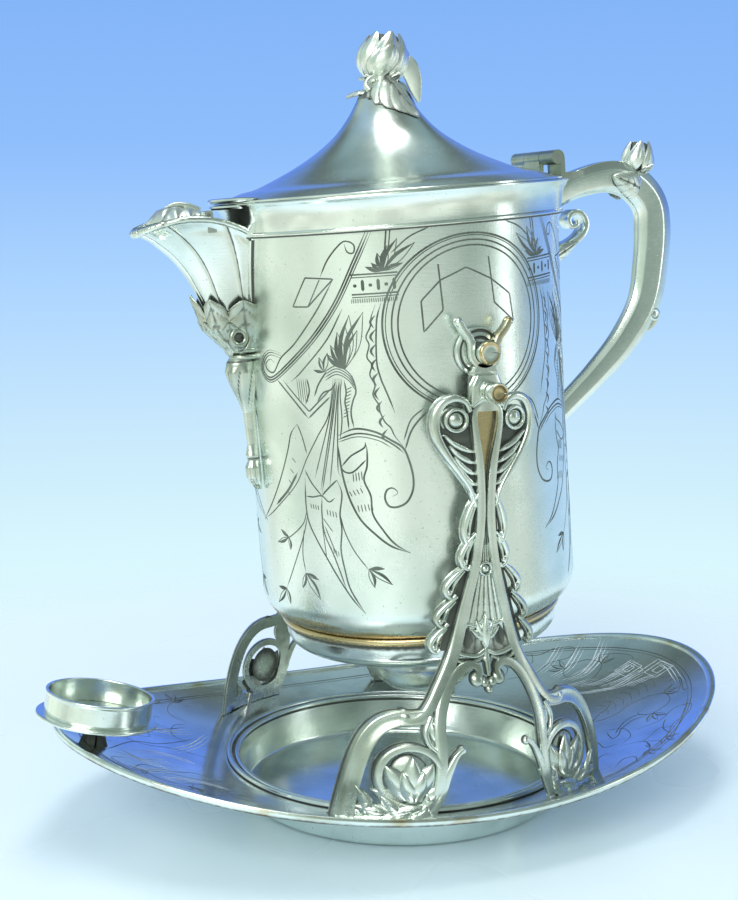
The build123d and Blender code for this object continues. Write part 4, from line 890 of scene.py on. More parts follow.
def parabola(x, points):
    """Height at a place of the parabola through three points."""
    (ax, az), (bx, bz), (cx, cz) = points
    first = az * (x - bx) * (x - cx) / ((ax - bx) * (ax - cx))
    second = bz * (x - ax) * (x - cx) / ((bx - ax) * (bx - cx))
    third = cz * (x - ax) * (x - bx) / ((cx - ax) * (cx - bx))
    return first + second + third


def body_surface(height):
    """Radius of the body's outside: a parabola through its shoulder, waist and top."""
    radii = ((shoulder_high, body_radius), (waist_height, body_waist_radius), (body_top, body_top_radius))
    return parabola(height, radii)


def shoulder_radius(height):
    """Radius of the rounded shoulder at a height: an arc of a circle."""
    arc_axis, arc_level, arc_radius = 63.245, 114.75, 16.8
    level = np.clip(height, shoulder_low, shoulder_high) - arc_level
    return arc_axis + np.sqrt(arc_radius ** 2 - level ** 2)


def around_body(radius, turn, height):
    """Points at a radius, an angle from the front towards the handle, and a height."""
    return grid_of(radius * np.sin(turn), -radius * np.cos(turn), height)


def on_body(degrees, height, lift=0.0):
    """Point on the body's outside: angle from the front in degrees, and height."""
    radius = np.where(height > shoulder_join, body_surface(height), shoulder_radius(height))
    return around_body(radius + lift, np.radians(degrees), height)


def bite(made, tube):
    """Cut a closed tube of points out of a made piece."""
    rows, columns = tube.shape[:2]
    index = np.arange(rows * columns).reshape(rows, columns)
    caps = [index[0].tolist()[::-1], index[-1].tolist()]
    cutter = bpy.data.meshes.new("cutter")
    faces = quads(index[:-1], index[1:]).tolist() + caps
    cutter.from_pydata((tube.reshape(-1, 3) / 1000.0).tolist(), [], faces)
    weld(cutter)
    tool = placed("cutter", cutter)
    cut = made.modifiers.new("bite", "BOOLEAN")
    cut.operation = "DIFFERENCE"
    cut.object = tool
    cut.solver = "EXACT"
    graph = bpy.context.evaluated_depsgraph_get()
    result = bpy.data.meshes.new_from_object(made.evaluated_get(graph))
    made.modifiers.remove(cut)
    made.data = result
    bpy.data.objects.remove(tool)


def make_shell():
    """Outer shell of the pitcher, open at its ends, with the hole of the spout's throat."""
    low = np.linspace(100.2, shoulder_join, 10)
    high = np.linspace(114.5, body_top, 40)
    outside = np.vstack([
        [(68.8, shoulder_low), (70.4, shoulder_low + 0.05)],
        np.stack([shoulder_radius(low), low], axis=-1),
        np.stack([body_surface(high), high], axis=-1),
    ])
    inside = outside - (body_sheet, 0)
    inside[:2, 1] += body_sheet
    grid = spun(np.vstack([outside, inside[::-1]]), 200)
    # The plating is worn to brass over the shoulder, most of all under the spout
    worn_top = shoulder_low + 2.0 + 9.0 * np.clip((-grid[..., 0] - 25) / 45, 0, 1)
    wear = 0.55 * np.clip((worn_top - grid[..., 2]) / 3.5, 0, 1)
    # Painted shade and tarnish along the bottom edge, where the shell meets the band
    dark = 0.9 * np.clip((shoulder_low + 0.9 - grid[..., 2]) / 0.5, 0, 1)
    shell = Piece().add(grid, dark, wear, ring=True).moved(tilt).make(
        "engraved_body", "pitcher", ["outer_body"], "body", 45
    )
    throat_height = 274.5
    angle = full_turn(40)
    reach = np.linspace(-70.0, -90.0, 3)[:, None]
    bite(shell, tilt(grid_of(reach, 9.7 * np.cos(angle), throat_height + 11.7 * np.sin(angle))))
    smooth(shell.data, 45)


def make_body():
    """Shell, collar with its beak, base band, bottom cover and knob of the pitcher."""
    make_shell()
    rim = Piece()
    outline = rounded([(82.6, 290.9), (83.9, 290.9), (84.2, 292.6), (83.4, 293.8), (82.6, 293.6)], 0.7, 4)
    # Painted shade on the lower half of the bead
    rim.add(spun(outline, 192), 0.95 * (outline[:, 1] < 291.9), ring=True)
    flare = smooth_line([(83.5, 292.6), (83.7, 296.0), (84.4, 300.6), (85.8, 304.2), (87.3, 306.1)], 16)
    brim = [(87.6, 306.6), (87.5, 307.1), (86.9, 307.3), (86.1, 307.2), (84.4, 303.1)]
    seat = [(80.0, 303.0), (69.0, 303.0), (69.0, body_top), (82.3, body_top), (82.5, 293.0)]
    outline = np.vstack([flare, brim, seat])
    # Painted shade and tarnish on the seat inside the brim
    dark = (np.arange(len(outline)) > len(flare) + 3) * 0.5
    rim.add(spun(outline, 192), dark, ring=True)
    rim.add(beak_shelf(93.4, 304.7, 307.2), 0.1)
    rim.moved(tilt).make("neck_band", "pitcher", ["rim_band"], "plate", 40)

    band = [(68.3, 99.5), (71.0, 99.5), (71.8, 98.4), (71.8, 96.7), (70.6, 95.5), (68.3, 95.5)]
    Piece().add(spun(rounded(band, 0.6), 192), 0.0, 0.5, ring=True).moved(tilt).make(
        "gilt_band", "pitcher", ["base_band"], "gilt", 40
    )

    top_edge = [(68.3, 95.5), (69.6, 95.5), (69.6, 94.8)]
    corner = smooth_line([(69.6, 92.0), (68.9, 87.6), (66.0, 84.4), (60.6, 82.0)], 12)
    below = [(44.0, 76.8), (28.6, 72.0), (0, 72.0)]
    above = [(0, 73.4), (28.6, 73.4), (59.4, 83.6), (64.6, 85.6), (67.4, 88.6), (68.2, 92.0)]
    outline = np.vstack([top_edge, corner, below, above])
    # Painted shade on the top edge, tucked under the band
    dark = (np.arange(len(outline)) < len(top_edge)) * 0.9
    Piece().add(spun(outline, 192), dark, ring=True).moved(tilt).make(
        "bottom_cover", "pitcher", ["base_pan"], "plate", 40
    )

    top_edge = [(0, 72.0), (28.2, 72.0), (28.6, 71.6)]
    bowl = smooth_line([(28.6, 69.8), (28.3, 67.4), (26.2, 61.2), (22.6, 57.2), (20.5, 56.2)], 14)
    outline = np.vstack([top_edge, bowl, [(20.5, 55.3), (20.2, 55.0), (14.0, 55.0), (13.0, 55.8), (0, 55.8)]])
    # Painted shade on the top edge, tucked under the cover, and slight darkening all over
    dark = (np.arange(len(outline)) < len(top_edge)) * 0.7 + 0.12
    Piece().add(spun(outline, 120), dark, 0.15).moved(tilt).make(
        "bottom_knob", "pitcher", ["base_knob"], "cast", 40
    )


def beak_shelf(reach, low, high):
    """Thin pointed shelf over the spout, as a lens in section.

    Its edge runs from the round brim out to the reach, in proportion to a power of the distance
    from its side.
    """
    share = np.linspace(-1, 1, 33)[:, None]
    brim, root = 83.2, 72.0
    edge = brim + (reach - brim) * (1 - np.abs(share) ** 1.4) ** 0.9
    around = full_turn(20)
    radius = (edge + root) / 2 + (edge - root) / 2 * np.cos(around)
    squash = np.clip(1 - share ** 8, 0, 1)
    height = (low + high) / 2 + (high - low) / 2 * np.clip(np.sin(around) * 2.2, -1, 1) * squash
    return around_body(radius, np.radians(-90.0 + 17.5 * share), height)


def make_trunnions():
    """Ringed disc on the body and the turned pin with its knob, in front and at the rear."""
    disc = np.array([(0, 79.0), (11.3, 79.0), (11.5, 82.9), (11.1, 83.5), (10.3, 83.5), (9.9, 82.8),
        (9.2, 82.8), (8.8, 83.5), (7.2, 83.6), (6.8, 82.8), (6.0, 82.8), (5.6, 83.4), (4.4, 83.4),
        (4.3, 82.0), (0, 82.0)])
    # Painted shade and tarnish on the disc's back against the body and in its grooves
    disc_dark = np.array([1, 1, 0.2, 0, 0, 1, 1, 0, 0, 1, 1, 0, 0.4, 1, 1])
    pin = np.array([
        (0, 77.0), (3.0, 77.0), (3.0, 82.6), (4.2, 83.2), (4.2, 89.2), (4.9, 89.6), (5.4, 90.2), (5.5, 92.8),
        (5.25, 93.6), (4.8, 94.0), (4.3, 93.7), (2.2, 93.8), (0, 93.8),
    ])
    # Painted shade and tarnish on the shank and at the foot of the knob
    pin_dark = np.array([1, 1, 1, 0.8, 0.7, 0.7, 0.1, 0, 0, 0, 0.3, 0.1, 0])
    pin_wear = np.array([0, 0, 0, 0, 0, 0, 0.1, 0.3, 0.8, 0.9, 0.6, 0.1, 0])
    for name, turn in sides:
        Piece().add(spun_y(disc, pivot_height, 64), disc_dark).moved(turn).moved(tilt).make(
            name + "_boss", "pitcher", [name + "_trunnion_disc"], "plate", 35
        )
        Piece().add(spun_y(pin, pivot_height), pin_dark, pin_wear).moved(turn).moved(tilt).make(
            name + "_pin", "pitcher", [name + "_trunnion"], "plate", 40
        )


# Spout


def spout_size(t):
    """Reach and half width of the spout's outside, from its foot at 0 to its top at 1."""
    reach = 22.5 + (66.0 - 22.5) * (0.42 * t + 0.58 * t ** 4)
    half = 8.6 + (20.5 - 8.6) * (0.7 * t + 0.3 * t ** 3)
    return reach, half


def mouth_height(x):
    """Height of the spout's curved mouth, a parabola through its tip, crown and root."""
    return parabola(x, ((-137.5, 294.0), (-112.0, 301.8), (-75.0, 290.0)))


def spout_wall(share, turn, lobe, inset):
    """Wall of the spout at shares of its height and turns from its tip, swelled by its lobes."""
    reach, half = spout_size(share)
    far_x = -spout_root - (reach + lobe - inset) * np.cos(turn)
    far_y = (half + lobe * 0.7 - inset) * np.sin(turn)
    return grid_of(far_x, far_y, spout_low + spout_rise * share)


def make_spout():
    """Fluted spout with its rim wire, the lugs of the flap's pin and the seams on the body.

    Each turn of the wall ends where its height crosses the mouth's parabola, and the wall is drawn
    in at creases that are even in the turn.
    """
    turn = np.radians(np.linspace(-92, 92, 185))
    dense = np.linspace(0, 1.04, 260)[:, None]
    x = -spout_root - spout_size(dense)[0] * np.cos(turn)
    over = spout_low + spout_rise * dense > mouth_height(np.clip(x, -140, -75))
    top = dense[np.argmax(over, axis=0), 0]
    share = np.linspace(0, 1, 40)[:, None] * top
    creases = np.abs(np.cos(6.0 * turn))
    dip = peak(share / top - 0.90, 0.045) * np.clip(creases * 1.4, 0, 1)
    lobe = 1.1 * np.clip(share * 1.5, 0.15, 1) * (1 - np.exp(-(creases / 0.22) ** 1.2)) - 1.1 - 0.7 * dip
    outer, inner = spout_wall(share, turn, lobe, 0.0), spout_wall(share, turn, lobe, 1.5)
    shell = np.concatenate([outer, inner[::-1]])
    # Painted shade and tarnish in the creases, and painted shade over the inside of the spout
    dark = np.clip(0.85 * peak(creases, 0.10) + 0.25 * dip, 0, 1)
    dark = np.concatenate([dark, dark * 0 + 0.9])
    spout = Piece().add(np.swapaxes(shell, 0, 1), dark.T, 0.05)
    plump = 1.0 + 0.45 * np.cos(turn) ** 8
    spout.add(swept((outer[-1] + inner[-1]) / 2, (0.0, 0.0, 1.0), circle(0, 0, 1.45), plump), 0.0, 0.15)
    lug = rounded([(-2.1, -8.0), (2.1, -8.0), (2.1, 1.4), (1.2, 2.1), (-1.2, 2.1), (-2.1, 1.4)], 0.4, 2)
    pin_place = (flap_pin_reach, 0, flap_pin_height)
    foot_place = (flap_pin_reach, 0, 298.0)
    # The lugs and their feet are somewhat darkened as painted shade and tarnish
    for side in (-1, 1):
        plate = block(lug, side * np.array([-11.0, -11.0, -13.2, -13.2]), [0, 1, 1, 0])
        spout.add(plate + pin_place, 0.3)
        foot = block(lug * (1, 0.35), side * np.array([-13.0, -13.0, -16.6, -16.6]), [0, 1, 1, 0])
        spout.add(foot + foot_place, 0.5)
    # Bead of solder along each seam, with a dark line beside it
    level = np.linspace(256.0, 290.0, 60)
    half_width = spout_size((level - spout_low) / spout_rise)[1] + 0.3
    away = -np.sqrt((body_surface(level) + 0.5) ** 2 - half_width ** 2)
    for side in (-1, 1):
        path = grid_of(away, side * half_width, level)
        outward = path * (1, 1, 0)
        outward /= np.linalg.norm(outward, axis=1, keepdims=True)
        spout.add(swept(path, outward, circle(0, 0, 1.0, 10)), 0.15)
        spout.add(swept(path + (0, side * 1.1, 0), outward, circle(0, -0.4, 0.5, 8)), 0.95)
    spout.moved(tilt).make("fluted_spout", "pitcher", ["spout"], "plate", 50)


def make_flap():
    """Leaf over the spout's mouth, the barrel of its hinge and the stalk along its back.

    The leaf is a lens-shaped tube on the mouth's parabola. Its breadth is a sine along its length,
    it is crowned across with the square of the distance, and ribs and veins are cut into its face.
    """
    flap = Piece()
    rows = np.linspace(0, 1, 44)[:, None]
    around = full_turn(56)
    across = np.cos(around)
    face = (np.sin(around) > 0.05) * 1.0
    breadth = (8.8 + 4.6 * np.sin(np.pi * rows ** 0.8)) * np.clip((1 - rows) * 3.2, 0, 1) ** 0.6
    scallop = 1 + 0.06 * np.sin(rows * 26)
    far = -99.4 - 26.0 * rows
    level = mouth_height(far) + 1.3 + 1.0 * (1 - rows) ** 3
    crest = 4.6 * (0.45 + 0.55 * np.sin(np.pi * rows ** 1.2)) * np.clip((1 - rows) * 4.0, 0, 1) ** 0.7
    rib = peak(across, 0.12)
    cuts = peak(1 - np.cos(8 * np.pi * (rows - 0.3 * np.abs(across))), 0.3) * (1 - rib)
    height = level + crest * (1 - across ** 2) + 0.8 * np.sin(around) - face * (0.8 * cuts + 0.6 * rib)
    # Painted shade and tarnish in the ribs and veins, and painted shade over the underside
    dark = face * np.clip(0.6 * cuts + 0.6 * rib, 0, 1) + (1 - face) * 0.7
    flap.add(closed(grid_of(far, breadth * scallop * across, height)), held(dark))
    barrel = np.array([(0.95, -10.5), (1.9, -10.5), (2.0, -10.1), (2.0, 10.1), (1.9, 10.5), (0.95, 10.5)])
    flap.add(spun_y(barrel, flap_pin_height, 32) + (flap_pin_reach, 0, 0), 0.25, ring=True)
    stalk = smooth_line([(-99.0, 305.4), (-104.0, 308.0), (-110.0, 309.3), (-115.0, 308.2)], 20)
    size = along_path([0, 0.4, 1], [1.9, 1.5, 0.5], 20)
    flap.add(swept(upright(stalk), (0.0, 0.0, 1.0), circle(0, 0, 1.0, 12), size), 0.1)
    flap.moved(tilt).make("leaf_flap", "flap", ["spout_flap"], "satin", 50)


def calyx_cup(share, turn, lift):
    """Half cup round the spout's foot: its reach and half width change along its height."""
    knots = [0, 0.11, 0.5, 1.0]
    reach = np.interp(share, knots, [12.6, 13.4, 22.9, 26.5]) + lift
    half = np.interp(share, knots, [4.6, 5.2, 9.3, 11.5]) + lift
    return grid_of(-spout_root - reach * np.cos(turn), half * np.sin(turn), calyx_low + calyx_rise * share)


def make_calyx():
    """Leaf cup under the spout: its core, nine veined leaves, the eyes and the collars.

    Each leaf is a lens-shaped tube laid round the cup. Its breadth is a power of a sine of its
    length, and its lift is a crown across, less the veins, with a tip that curls out.
    """
    calyx = Piece()
    turn = np.radians(np.linspace(-90, 90, 90))
    share = np.linspace(0, 1, 20)[:, None]
    level = share * (0.72 + 0.08 * np.cos(4 * turn))
    outer = calyx_cup(level, turn, -0.6 + 0.4 * np.sin(np.pi * share))
    inner = calyx_cup(level, turn, -2.4)
    # The core behind the leaves is darkened as painted shade
    calyx.add(np.swapaxes(np.concatenate([outer, inner[::-1]]), 0, 1), 0.75)
    along = np.linspace(0, 1, 30)[:, None]
    around = full_turn(36)
    across = np.cos(around)
    face = (np.sin(around) > 0.05) * 1.0
    breadth = np.sin(np.pi * np.clip(along * 0.95 + 0.05, 0, 1) ** 0.85) ** 0.7
    rib = peak(across, 0.14)
    cuts = peak(1 - np.cos(7 * np.pi * (along + 0.35 * np.abs(across))), 0.3) * (1 - rib)
    swell = np.sin(np.pi * along) ** 0.5
    lift = 0.5 + 1.1 * (1 - across ** 2) * swell + 0.6 * np.sin(around) + 2.0 * along ** 5
    lift = lift - face * (0.45 * cuts + 0.4 * rib) * swell
    # Painted shade and tarnish in the ribs and veins, and painted shade over the undersides
    dark = face * np.clip(0.6 * cuts + 0.6 * rib, 0, 1) + (1 - face) * 0.8
    # Each leaf: angle of its middle, its spread in degrees, its top and its foot
    for middle, spread, tall, start in (
        (-74, 26, 1.0, 0.10), (-38, 26, 1.06, 0.06), (0, 28, 1.14, 0.04), (38, 26, 1.06, 0.06),
        (74, 26, 1.0, 0.10), (-56, 20, 0.62, 0.02), (-18, 20, 0.66, 0.0), (18, 20, 0.66, 0.0),
        (56, 20, 0.62, 0.02),
    ):
        turn = np.radians(middle + spread * breadth * across * (1 + 0.10 * np.sin(along * 24)))
        calyx.add(closed(calyx_cup(start + (tall - start) * along, turn, lift)), held(dark))
    # Round eye with a crescent curl behind it, on both sides
    eye_x = -(spout_root + 10.4)
    ball_turn = np.linspace(0, np.pi, 10)
    ball = np.stack([2.4 * np.sin(ball_turn), 8.9 - 1.2 * np.cos(ball_turn)], axis=-1)
    arc = np.radians(np.linspace(118, -96, 34))
    reach = np.linspace(7.6, 5.6, 34)
    curl = grid_of(eye_x + reach * np.cos(arc), -8.2, eye_height + 1.6 + reach * 1.5 * np.sin(arc))
    size = along_path([0, 0.35, 1], [0.5, 1.5, 0.7], 34)
    for side in (1.0, -1.0):
        flip = (1.0, side, 1.0)
        calyx.add((spun_y(circle(3.5, 9.4, 1.35), eye_height, 36) + (eye_x, 0, 0)) * flip, 0.05, ring=True)
        calyx.add((spun_y(ball, eye_height, 24) + (eye_x, 0, 0)) * flip, 0.95)
        calyx.add(swept(curl, (0.0, -1.0, 0.0), circle(0, 0, 1.0, 12), size) * flip, 0.1)
    ring_turn = full_turn(48)
    middle = -(spout_root + 4.0)
    for low, reach, half, thick in ((238.4, 10.4, 5.2, 1.5), (235.2, 11.2, 5.8, 1.3)):
        away = grid_of((3.6 - reach) * np.cos(ring_turn), half * np.sin(ring_turn), 0)
        collar = away + (middle, 0, low)
        away = away / np.linalg.norm(away, axis=1, keepdims=True)
        section = circle(0, 0, thick, 12)
        grid = collar[:, None] + away[:, None] * section[:, :1] + np.array([0, 0, 1.0]) * section[:, 1:]
        calyx.add(grid, 0.1, ring=True)
    calyx.moved(tilt).make("leaf_cup", "pitcher", ["spout_calyx"], "cast", 50)


def make_pendant():
    """Leaf bulb, stem and ridged acorn under the leaf cup, close to the body.

    Its section is an ellipse, with the reach and the half width of a table at each height, which
    twisted creases swell in the bulb and upright ridges in the acorn.
    """
    heights = [169.5, 172, 176, 181, 184.6, 186.6, 189, 192, 200, 208, 214, 221, 228, 232.5, 236]
    reaches = [5.2, 7.6, 9.6, 9.8, 8.2, 9.2, 8.6, 8.0, 8.2, 8.6, 10.2, 13.4, 15.2, 14.6, 12.0]
    halves = [0.3, 2.0, 3.1, 3.3, 2.0, 2.9, 2.2, 1.5, 1.4, 1.8, 3.0, 5.0, 6.2, 5.8, 4.4]
    z = np.linspace(heights[0], heights[-1], 110)[:, None]
    root = np.interp(z, [169, 205, 222, 236], [2.4, 2.2, 0.6, 0.6])
    spread = np.maximum((np.interp(z, heights, reaches) - root) / 2, 0.15)
    around = full_turn(56)
    leafy = np.clip((z - 207) / 8, 0, 1) * np.clip((231 - z) / 3, 0, 1)
    crease = np.abs(np.sin(3.0 * around + 0.16 * (z - 205)))
    acorn = np.clip((184 - z) / 3, 0, 1)
    ridge = np.abs(np.sin(4.0 * around))
    swell = 1 + 0.16 * leafy * (crease - 0.6) + 0.07 * acorn * (ridge - 0.5)
    x = -(spout_root + root + spread) - spread * swell * np.cos(around)
    y = np.interp(z, heights, halves) * swell * np.sin(around)
    # Painted shade and tarnish in the twisted creases, at the two necks and between the acorn's ridges
    dark = leafy * peak(crease, 0.22) + 0.8 * peak(z - 185.2, 0.9) + 0.8 * peak(z - 233.2, 0.8)
    dark = dark + 0.6 * acorn * peak(ridge, 0.2)
    Piece().add(closed(grid_of(x, y, z)), np.clip(held(dark), 0, 1), 0.1).moved(tilt).make(
        "leaf_drop", "pitcher", ["spout_pendant"], "cast", 50
    )


# Handle


def petal(profile, low, high, turn, spread, twist, lift, sheet=1.3):
    """Petal on a body of revolution.

    Its angle is a power of a sine of its length times the spread, twisted as it rises, and its radius
    is the profile's plus a lift that grows to its tip, with a lens-shaped section and a soft keel.
    """
    along = np.linspace(0, 1, 34)[:, None]
    around = full_turn(36)
    across = np.cos(around)
    breadth = np.sin(np.pi * np.clip(along * 0.93 + 0.05, 0, 1) ** 0.9) ** 0.55
    angle = np.radians(turn + twist * along + spread * breadth * across)
    z = low + (high - low) * along
    keel = (0.7 * peak(across, 0.25) - 0.35 * np.cos(3.0 * np.pi * across)) * np.sin(np.pi * along) ** 0.6
    crown = 0.8 * (1 - across ** 2) * np.sin(np.pi * along)
    radius = profile(z) + lift * along ** 3 + crown + sheet / 2 * np.sin(around) + keel
    # Painted shade at the petal's edges and foot, where petals overlap
    dark = np.clip(0.9 * np.abs(across) ** 12 + 0.7 * (1 - along) ** 5, 0, 1)
    return closed(around_body(np.maximum(radius, 0.3), angle, z)), held(dark)


def bud_piece(radius, height, foot, petals, twist):
    """Half-closed bud: a core, an inner whorl that reaches the top and an outer whorl that is shorter."""
    knots_z = np.array([0, 0.10, 0.28, 0.52, 0.74, 0.90, 1.0]) * height
    knots_r = np.array([foot / radius, 0.64, 0.86, 0.90, 0.78, 0.62, 0.50]) * radius
    line = smooth_line(np.stack([knots_r, knots_z], axis=-1), 60)
    profile = lambda z: np.interp(z, line[:, 1], line[:, 0])
    core_z = np.linspace(0, height * 0.93, 30)
    core = np.stack([profile(core_z) * 0.90, core_z], axis=-1)
    core = np.vstack([[(0, 0)], core, [(0, height * 0.94)]])
    # The core is darkened as painted shade between the petals
    piece = Piece().add(spun(core, 48), 0.9)
    inner = petals + 2
    for k in range(inner):
        turn = 360.0 * k / inner + 20.0
        top = height * (1.0, 0.95, 0.98, 0.92, 0.96)[k % 5]
        grid, dark = petal(profile, height * 0.05, top, turn, 38.0, twist, 0.7)
        piece.add(grid, dark, 0.05)
    for k in range(petals):
        turn = 360.0 * (k + 0.5) / petals
        top = height * (0.82, 0.70, 0.77, 0.72)[k % 4]
        grid, dark = petal(lambda z: profile(z) + 0.8, 0.0, top, turn, 40.0, twist, 0.3)
        piece.add(grid, dark, 0.05)
    return piece


def make_handle():
    """Faceted loop with its scrolls, the bud on its crown and the two leaves."""
    points = [(76.0, 288.5), (88.0, 295.5), (104.0, 302.6), (124.0, 306.0), (137.5, 303.6), (146.0, 298.2),
        (152.0, 290.0), (153.6, 280.0), (152.0, 262.0), (146.0, 238.0), (131.5, 218.5), (113.0, 202.5),
        (92.0, 187.0), (72.0, 172.0)]
    count = 120
    line = smooth_line(points, count)
    share = np.linspace(0, 1, count)
    depth = np.interp(share, [0, 0.1, 0.2, 0.3, 0.42, 0.52, 0.62, 0.8, 1], [11, 13.2, 15.6, 18.6, 20.6,
        19.8, 17.6, 12.8, 9.5])
    width = 13.0 - 5.0 * share
    path = upright(line)
    corners = [(-0.28, 0.5), (0.28, 0.5), (0.5, 0.21), (0.45, -0.30), (0.20, -0.5), (-0.20, -0.5),
        (-0.45, -0.30), (-0.5, 0.21)]
    section = rounded(corners, 0.055, 3)
    way = np.gradient(line, axis=0)
    out = upright(way[:, ::-1] * (-1, 1))
    loop = Piece().add(swept(path, out, section, np.stack([width, depth], axis=-1)), 0.0, 0.05)
    # Scroll inside the top of the loop, with a leaf on each side
    spiral = smooth_line([(79.5, 263.5), (87.0, 267.5), (94.0, 270.6), (101.0, 273.4), (107.4, 277.4),
        (110.2, 283.0), (107.6, 288.2), (102.6, 289.2), (99.6, 285.8), (101.2, 282.0), (104.6, 282.8),
        (104.4, 285.2)], 80)
    wide = along_path([0, 0.25, 0.5, 1], [0.75, 1.0, 1.0, 0.9], 80)
    high = along_path([0, 0.4, 1], [2.0, 1.2, 0.7], 80)
    strip = rounded([(-4.9, -1.5), (4.9, -1.5), (4.9, 1.5), (-4.9, 1.5)], 0.9, 3)
    up = upright(np.gradient(spiral, axis=0)[:, ::-1] * (-1, 1))
    loop.add(swept(upright(spiral), up, strip, np.stack([wide, high], axis=-1)), 0.15)
    leaf, shade = blade(24.0, 8.0, 2.0, 1.4, 4)
    for side in (-1, 1):
        spot = turned_about(turned_about(leaf, "X", -90 * side), "Y", -24)
        loop.add(spot + (82.0, side * 4.6, 264.5), shade)
    # Turned stud across the loop, and the spur under it
    small = np.array([(0, -4.7), (2.6, -4.7), (3.5, -4.2), (3.7, -3.2), (3.7, 3.2), (3.5, 4.2), (2.6, 4.7),
        (1.8, 4.3), (0, 4.6)])
    loop.add(spun_y(small, 231.0, 32) + (150.2, 0, 0), 0.1)
    spur = smooth_line([(151.5, 228.0), (148.0, 224.4), (143.0, 222.6), (138.0, 220.0)], 14)
    section = rounded([(-2, -3.6), (2, -3.6), (2, 3.6), (-2, 3.6)], 1.0, 3)
    loop.add(swept(upright(spur), (0.0, 1.0, 0.0), section, np.linspace(1.0, 0.6, 14)), 0.2)
    loop.moved(tilt).make("loop_handle", "pitcher", ["handle"], "plate", 28)

    bud = bud_piece(7.3, 18.0, 3.4, 3, 26.0)
    for turn in (20.0, 110.0, 200.0, 290.0):
        sepal, shade = blade(9.0, 6.0, 1.2, 1.2, 3, -3.0, 18, 20)
        sepal = turned_about(turned_about(sepal, "Y", -8.0) + (2.2, 0, 1.0), "Z", turn)
        bud.add(sepal, shade)
    bud.moved(lambda p: tilt(turned_about(p, "Y", 14.0) + (144.0, 0, 306.0)))
    bud.make("handle_rosebud", "pitcher", ["handle_bud"], "satin", 50)

    leaves = Piece()
    for side in (-1, 1):
        grid, shade = blade(18.0, 14.5, 2.6, 1.8, 4, 0.0, 34, 40, True)
        grid[..., 0] -= 8.0
        grid = turned_about(turned_about(grid, "X", 90.0 if side < 0 else -90.0), "Y", 205.0)
        leaves.add(grid + (135.0, side * 6.2, 302.0), shade, 0.05)
    leaves.moved(tilt).make("crown_leaves", "pitcher", ["handle_leaf"], "satin", 50)


# Lid


